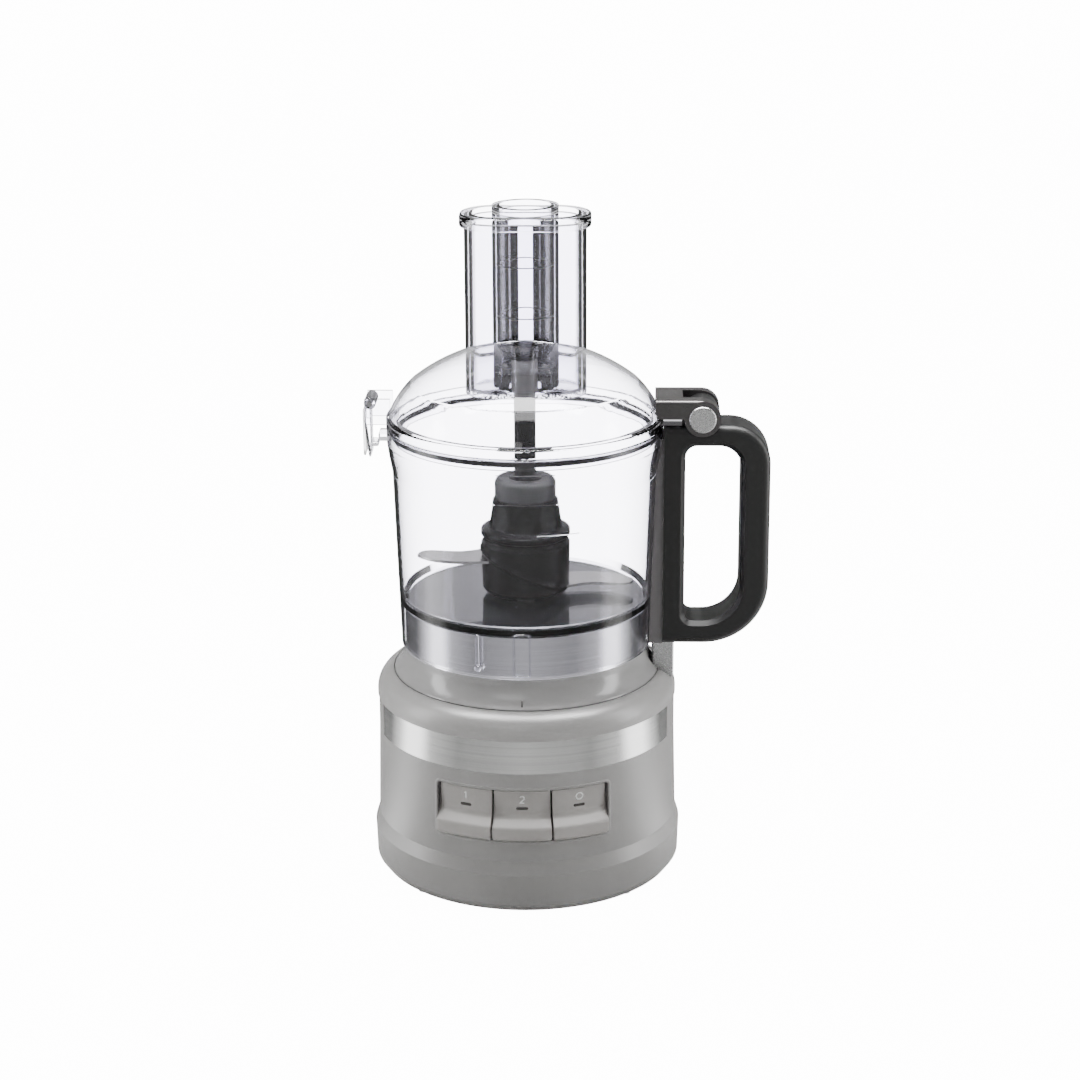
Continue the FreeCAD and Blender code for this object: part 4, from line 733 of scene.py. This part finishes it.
def make_hub(depth, ridge):
    """Moulded hub: a lathe outline whose radius is moved by ovals and a sloping ridge.

    Eight oval hollows: -depth * exp(-(u^2 + v^2)^2), u and v the distances from an
    oval's centre over its half sizes.  The ridge: +ridge * exp(-(w / 1.1)^2), w the
    height above a line that falls as z = 184.5 - 11.5 sin a across the front.
    """
    corners = [(13.0, 170.5, 0.4), (24.2, 170.5, 1.0), (25.6, 172.4, 1.0), (26.2, 199.4, 0.8),
               (24.9, 201.4, 0.8), (24.9, 203.6, 0.6), (26.3, 204.6, 0.9), (26.3, 207.8, 1.2),
               (21.8, 209.6, 1.2), (21.4, 217.0, 2.0), (19.0, 226.0, 0.8), (9.8, 226.0, 0.2),
               (9.8, 203.0, 0.2), (13.0, 201.0, 0.2)]
    outline = resample(rounded(corners, 5), 0.9)
    angle = np.linspace(0, 2 * math.pi, 288, endpoint=False)[None]
    r, z = outline[:, 0][:, None], outline[:, 1][:, None]
    outer = r > 15.0
    turn = (angle + math.pi / 8) % (math.pi / 4) - math.pi / 8
    oval = ((turn * 21.0 / 5.6) ** 2 + ((z - 217.0) / 6.0) ** 2) ** 2
    slope = z - (184.5 - 11.5 * np.sin(angle))
    low = (z > 171.5) & (z < 199.0)
    radius = (r - outer * depth * np.exp(-oval)
              + outer * low * ridge * np.exp(-(slope / 1.1) ** 2)) * MM
    grid = np.stack([radius * np.sin(angle), -radius * np.cos(angle),
                     np.broadcast_to(z * MM, radius.shape)], axis=-1)
    return make_piece("hub_shell", [(grid, True, True)], "blade", replaces=("blade_hub",))


def make_cap():
    """Grey cap on the hub: a short drum with a wide round edge and a groove at its foot."""
    outline = rounded([(9.6, 226.0, 0.1), (17.2, 226.0, 0.3), (17.2, 227.0, 0.2), (18.0, 227.4, 0.5),
                       (18.0, 239.0, 3.4), (9.6, 239.0, 0.6)], 10) * MM
    return make_piece("cap_shell", [lathe(outline, 160)], "blade", replaces=("blade_cap",))


def make_latch():
    """Clear latch: a tapering front plate, a thick barrel round the pin and a nib."""
    front = rounded([(-92.4, 284.0, 0.8), (-92.9, 272.0, 4.0), (-90.6, 252.8, 0.9), (-89.4, 252.6, 0.5),
                     (-89.5, 284.0, 0.5)], 6)
    profile = resample(front, 2.0) * MM
    t = np.linspace(0, 2 * math.pi, 40, endpoint=False)
    barrel = np.stack([-89.5 + 3.55 * np.cos(t), 285.0 + 3.55 * np.sin(t)], axis=-1) * MM
    nib = rounded([(-90.0, 258.0, 0.3), (-85.3, 258.2, 0.5), (-85.3, 260.8, 0.8),
                   (-90.0, 261.0, 0.3)], 5)
    grids = [prism(profile, 8.9 * MM, 1.0 * MM, across_y),
             prism(barrel, 8.9 * MM, 0.6 * MM, across_y),
             prism(resample(nib, 1.0) * MM, 5.0 * MM, 0.4 * MM, across_y)]
    return make_piece("latch_shell", grids, "latch", replaces=("latch_lever",))


def make_measure_rings():
    """Three fine measuring rings on the small pusher's wall."""
    rings = []
    for z in (300.0, 330.0, 360.0):
        t = np.linspace(0, 2 * math.pi, 12, endpoint=False)
        outline = np.stack([16.7 + 0.25 * np.cos(t), z + 0.35 * np.sin(t)], axis=-1) * MM
        rings.append(lathe(outline, 96, (0.0, CUP_CENTRE_Y * MM)))
    return make_piece("measure_rings", rings, "small_pusher")


# ------------------------------------------------------------------ stage
def emitter(name, centre, width, height, strength, target):
    """A rectangular soft light that faces a target point."""
    light = bpy.data.lights.new(name, "AREA")
    light.shape = "RECTANGLE"
    light.size, light.size_y = width, height
    light.energy = strength
    lamp = bpy.data.objects.new(name, light)
    bpy.context.scene.collection.objects.link(lamp)
    lamp.location = centre
    lamp.rotation_euler = (Vector(target) - Vector(centre)).to_track_quat("-Z", "Y").to_euler()
    return lamp


def around(azimuth, radius, height):
    """A point at an azimuth from the front, positive towards the handle."""
    a = math.radians(azimuth)
    return (radius * math.sin(a), -radius * math.cos(a), height)


def combine(tree, operation, first, second):
    """One sum; each side is a socket or a number."""
    node = add(tree, "ShaderNodeMath", operation=operation)
    for socket, value in zip(node.inputs, (first, second)):
        if isinstance(value, (int, float)):
            socket.default_value = value
        else:
            tree.links.new(value, socket)
    return node.outputs[0]


def seen_directly(tree, strength, inside_share=0.07):
    """A strength for rays from the eye, straight or through clear plastic.

    Rays that were mirrored inside clear plastic on their way keep a share of it,
    which is what lights the edges of the clear parts.
    """
    path = add(tree, "ShaderNodeLightPath")
    no_diffuse = combine(tree, "LESS_THAN", path.outputs["Diffuse Depth"], 0.5)
    no_gloss = combine(tree, "LESS_THAN", path.outputs["Glossy Depth"], 0.5)
    inside = combine(tree, "GREATER_THAN", path.outputs["Transmission Depth"], 0.5)
    share = combine(tree, "MAXIMUM", no_gloss, combine(tree, "MULTIPLY", inside, inside_share))
    return combine(tree, "MULTIPLY", combine(tree, "MULTIPLY", no_diffuse, share), strength)


def backdrop(settings):
    """Floor that sweeps up behind the object: z = 0, then a quarter circle, then a wall."""
    radius, far, half = 1.6, 2.6, 6.0
    t = np.linspace(0, math.pi / 2, 24)
    y = np.concatenate([[-6.0], far + radius * np.sin(t), [far + radius]])
    z = np.concatenate([[0.0], radius - radius * np.cos(t), [6.0]])
    x = np.linspace(-half, half, 9)
    grid = np.stack(np.broadcast_arrays(x[:, None], y[None], z[None]), axis=-1)
    mesh = bpy.data.meshes.new("backdrop")
    mesh.from_pydata(grid.reshape(-1, 3).tolist(), [], grid_faces(*grid.shape[:2]).tolist())
    mesh.shade_smooth()
    sheet = bpy.data.objects.new("backdrop", mesh)
    bpy.context.scene.collection.objects.link(sheet)
    material, tree, shader = blank_material("backdrop_paper")
    shader.inputs["Base Color"].default_value = (*settings.floor_colour, 1)
    shader.inputs["Roughness"].default_value = 0.9
    shader.inputs["Specular IOR Level"].default_value = 0.1
    shader.inputs["Emission Color"].default_value = (1.0, 1.0, 1.0, 1)
    glow = seen_directly(tree, settings.paper_glow)
    tree.links.new(glow, shader.inputs["Emission Strength"])
    mesh.materials.append(material)
    return sheet


def floor_card():
    """A card on the floor that only reflections show: bright to each side, dark behind.

    The brightness depends on the azimuth atan2(x, -y) alone; eye rays pass through it.
    """
    material = bpy.data.materials.new("reflection_card")
    material.use_nodes = True
    tree = material.node_tree
    tree.nodes.clear()
    place = add(tree, "ShaderNodeTexCoord")
    parts = add(tree, "ShaderNodeSeparateXYZ")
    tree.links.new(place.outputs["Object"], parts.inputs[0])
    back = combine(tree, "MULTIPLY", parts.outputs["Y"], -1.0)
    azimuth = combine(tree, "ARCTAN2", parts.outputs["X"], back)
    share = combine(tree, "DIVIDE", combine(tree, "ABSOLUTE", azimuth, 0.0), math.pi)
    ramp = add(tree, "ShaderNodeValToRGB")
    stops = ((0, 0.17), (45, 0.10), (68, 0.22), (78, 0.9), (90, 1.0), (100, 0.35), (112, 0.05),
             (150, 0.015), (180, 0.03))
    elements = ramp.color_ramp.elements
    while len(elements) < len(stops):
        elements.new(0.5)
    for element, (degrees, value) in zip(elements, stops):
        element.position = degrees / 180.0
        element.color = (value, value, value, 1)
    tree.links.new(share, ramp.inputs["Fac"])
    path = add(tree, "ShaderNodeLightPath")
    mirrored = combine(tree, "GREATER_THAN", path.outputs["Glossy Depth"], 0.5)
    sharp = combine(tree, "LESS_THAN", path.outputs["Diffuse Depth"], 0.5)
    glow = add(tree, "ShaderNodeEmission", Strength=3.2)
    tree.links.new(ramp.outputs["Color"], glow.inputs["Color"])
    gone = add(tree, "ShaderNodeBsdfTransparent")
    mix = add(tree, "ShaderNodeMixShader")
    tree.links.new(combine(tree, "MULTIPLY", mirrored, sharp), mix.inputs["Fac"])
    tree.links.new(gone.outputs[0], mix.inputs[1])
    tree.links.new(glow.outputs[0], mix.inputs[2])
    end = add(tree, "ShaderNodeOutputMaterial")
    tree.links.new(mix.outputs[0], end.inputs["Surface"])
    a = np.linspace(0, 2 * math.pi, 96, endpoint=False)[:, None]
    r = np.linspace(0.13, 2.2, 10)[None]
    grid = np.stack(np.broadcast_arrays(r * np.sin(a), -r * np.cos(a), 0.0008), axis=-1)
    mesh = bpy.data.meshes.new("reflection_card")
    mesh.from_pydata(grid.reshape(-1, 3).tolist(), [], grid_faces(96, 10, close_rows=True).tolist())
    mesh.materials.append(material)
    card = bpy.data.objects.new("reflection_card", mesh)
    bpy.context.scene.collection.objects.link(card)
    card.visible_camera = False
    card.visible_shadow = False
    card.visible_diffuse = False


def camera(settings):
    """Camera from its distance, height, pitch, roll and pan, turned round the blade axis."""
    pitch, roll, pan = settings.camera_pitch, settings.camera_roll, settings.camera_pan
    ahead = Vector((math.sin(pan) * math.cos(pitch), math.cos(pan) * math.cos(pitch),
                    -math.sin(pitch)))
    right = Vector((math.cos(pan), -math.sin(pan), 0.0))
    up = right.cross(ahead)
    across = right * math.cos(roll) + up * math.sin(roll)
    upright = up * math.cos(roll) - right * math.sin(roll)
    pose = Matrix((across, upright, -ahead)).transposed().to_4x4()
    pose.translation = Vector((0.0, -settings.camera_distance, settings.camera_height))
    data = bpy.data.cameras.new("camera")
    data.lens, data.sensor_width = settings.lens, 36.0
    eye = bpy.data.objects.new("camera", data)
    bpy.context.scene.collection.objects.link(eye)
    eye.matrix_world = Matrix.Rotation(settings.turn, 4, "Z") @ pose
    bpy.context.scene.camera = eye
    return eye


def room_light(settings):
    world = bpy.data.worlds.new("room")
    world.use_nodes = True
    shade = world.node_tree.nodes["Background"]
    shade.inputs["Color"].default_value = (1.0, 1.0, 1.0, 1)
    tree = world.node_tree
    base = add(tree, "ShaderNodeMath", operation="ADD")
    tree.links.new(seen_directly(tree, settings.paper_glow), base.inputs[0])
    base.inputs[1].default_value = settings.world_strength
    tree.links.new(base.outputs[0], shade.inputs["Strength"])
    bpy.context.scene.world = world


# ------------------------------------------------------------------ operators
class FOODPRO_OT_stage(bpy.types.Operator):
    """Make the backdrop, the lights and the camera"""

    bl_idname = "foodpro.stage"
    bl_label = "Stage"

    def execute(self, context):
        settings = context.scene.foodpro_stage
        backdrop(settings)
        floor_card()
        room_light(settings)
        middle = (0.0, 0.0, 0.2)
        for side in (-1, 1):
            emitter("side_box_%s" % ("left" if side < 0 else "right"),
                    around(side * 84, 1.3, 0.42), 0.34, 1.3, 12.0, middle)
        emitter("top_box", (0.0, -0.35, 1.5), 1.0, 0.55, 9.0, middle)
        strip = emitter("dome_strip", (0.0, -0.06, 1.3), 1.5, 0.34, 60.0, (0.0, 0.0, 0.3))
        strip.visible_diffuse = False
        emitter("front_fill", around(-14, 2.6, 1.7), 1.2, 0.9, 8.5, middle)
        emitter("paper_light", (0.0, 1.9, 2.4), 3.2, 1.2, 20.0, (0.0, 3.4, 0.6))
        camera(settings)
        return {"FINISHED"}


class FOODPRO_OT_finishes(bpy.types.Operator):
    """Give every carried node its finish"""

    bl_idname = "foodpro.finishes"
    bl_label = "Finishes"

    def execute(self, context):
        FINISHES.update(finishes(context.scene.foodpro_finish))
        for finish, names in NODE_FINISH.items():
            for name in names:
                coat_piece(NODES[name], finish)
        return {"FINISHED"}


class FOODPRO_OT_keys(bpy.types.Operator):
    """Make the three keys with their slots and marks"""

    bl_idname = "foodpro.keys"
    bl_label = "Keys"

    def execute(self, context):
        edge = context.scene.foodpro_shape.key_edge
        for (name, degrees), strokes in zip(KEYS, mark_strokes()):
            coat_piece(make_key(name, degrees, edge), "keys")
            coat_piece(make_lens(name, degrees), "lens")
            coat_piece(make_mark(name, degrees, strokes), "printed")
        return {"FINISHED"}


class FOODPRO_OT_base_trim(bpy.types.Operator):
    """Make the key window's border and the seam of the neck"""

    bl_idname = "foodpro.base_trim"
    bl_label = "Base trim"

    def execute(self, context):
        coat_piece(make_window_border(), "housing")
        coat_piece(make_seams(), "seam")
        return {"FINISHED"}


class FOODPRO_OT_bowl_marks(bpy.types.Operator):
    """Make the bowl's rim bead, its level line and the marks on its skirt"""

    bl_idname = "foodpro.bowl_marks"
    bl_label = "Bowl marks"

    def execute(self, context):
        for piece in (make_bowl_rim(), make_bowl_marks()):
            coat_piece(piece, "clear")
        coat_piece(make_level_line(), "frosted")
        return {"FINISHED"}


class FOODPRO_OT_hub(bpy.types.Operator):
    """Make the blade's hub and its cap"""

    bl_idname = "foodpro.hub"
    bl_label = "Blade hub"

    def execute(self, context):
        shape = context.scene.foodpro_shape
        coat_piece(make_hub(shape.oval_depth, shape.ridge), "hub")
        coat_piece(make_cap(), "cap")
        return {"FINISHED"}


class FOODPRO_OT_latch(bpy.types.Operator):
    """Make the clear latch"""

    bl_idname = "foodpro.latch"
    bl_label = "Latch"

    def execute(self, context):
        coat_piece(make_latch(), "clear")
        return {"FINISHED"}


class FOODPRO_OT_cup(bpy.types.Operator):
    """Make the measuring rings of the small pusher"""

    bl_idname = "foodpro.cup"
    bl_label = "Measure rings"

    def execute(self, context):
        coat_piece(make_measure_rings(), "frosted")
        return {"FINISHED"}


class FOODPRO_PT_panel(bpy.types.Panel):
    """Lists the operators in the order in which they run"""

    bl_idname = "FOODPRO_PT_panel"
    bl_label = "Food processor"
    bl_space_type = "VIEW_3D"
    bl_region_type = "UI"
    bl_category = "Food processor"

    def draw(self, context):
        for operator in OPERATORS:
            self.layout.operator(operator.bl_idname)


SETTINGS = (StageSettings, FinishSettings, ShapeSettings)
OPERATORS = (FOODPRO_OT_stage, FOODPRO_OT_finishes, FOODPRO_OT_keys, FOODPRO_OT_base_trim,
             FOODPRO_OT_bowl_marks, FOODPRO_OT_hub, FOODPRO_OT_latch, FOODPRO_OT_cup)


def register():
    for kind in (*SETTINGS, *OPERATORS, FOODPRO_PT_panel):
        bpy.utils.register_class(kind)
    bpy.types.Scene.foodpro_stage = PointerProperty(type=StageSettings)
    bpy.types.Scene.foodpro_finish = PointerProperty(type=FinishSettings)
    bpy.types.Scene.foodpro_shape = PointerProperty(type=ShapeSettings)


def unregister():
    del bpy.types.Scene.foodpro_shape
    del bpy.types.Scene.foodpro_finish
    del bpy.types.Scene.foodpro_stage
    for kind in (FOODPRO_PT_panel, *reversed(OPERATORS), *reversed(SETTINGS)):
        bpy.utils.unregister_class(kind)


def main():
    """Registers the add-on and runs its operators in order."""
    register()
    for operator in OPERATORS:
        family, call = operator.bl_idname.split(".")
        getattr(getattr(bpy.ops, family), call)()


if __name__ == "__main__":
    main()
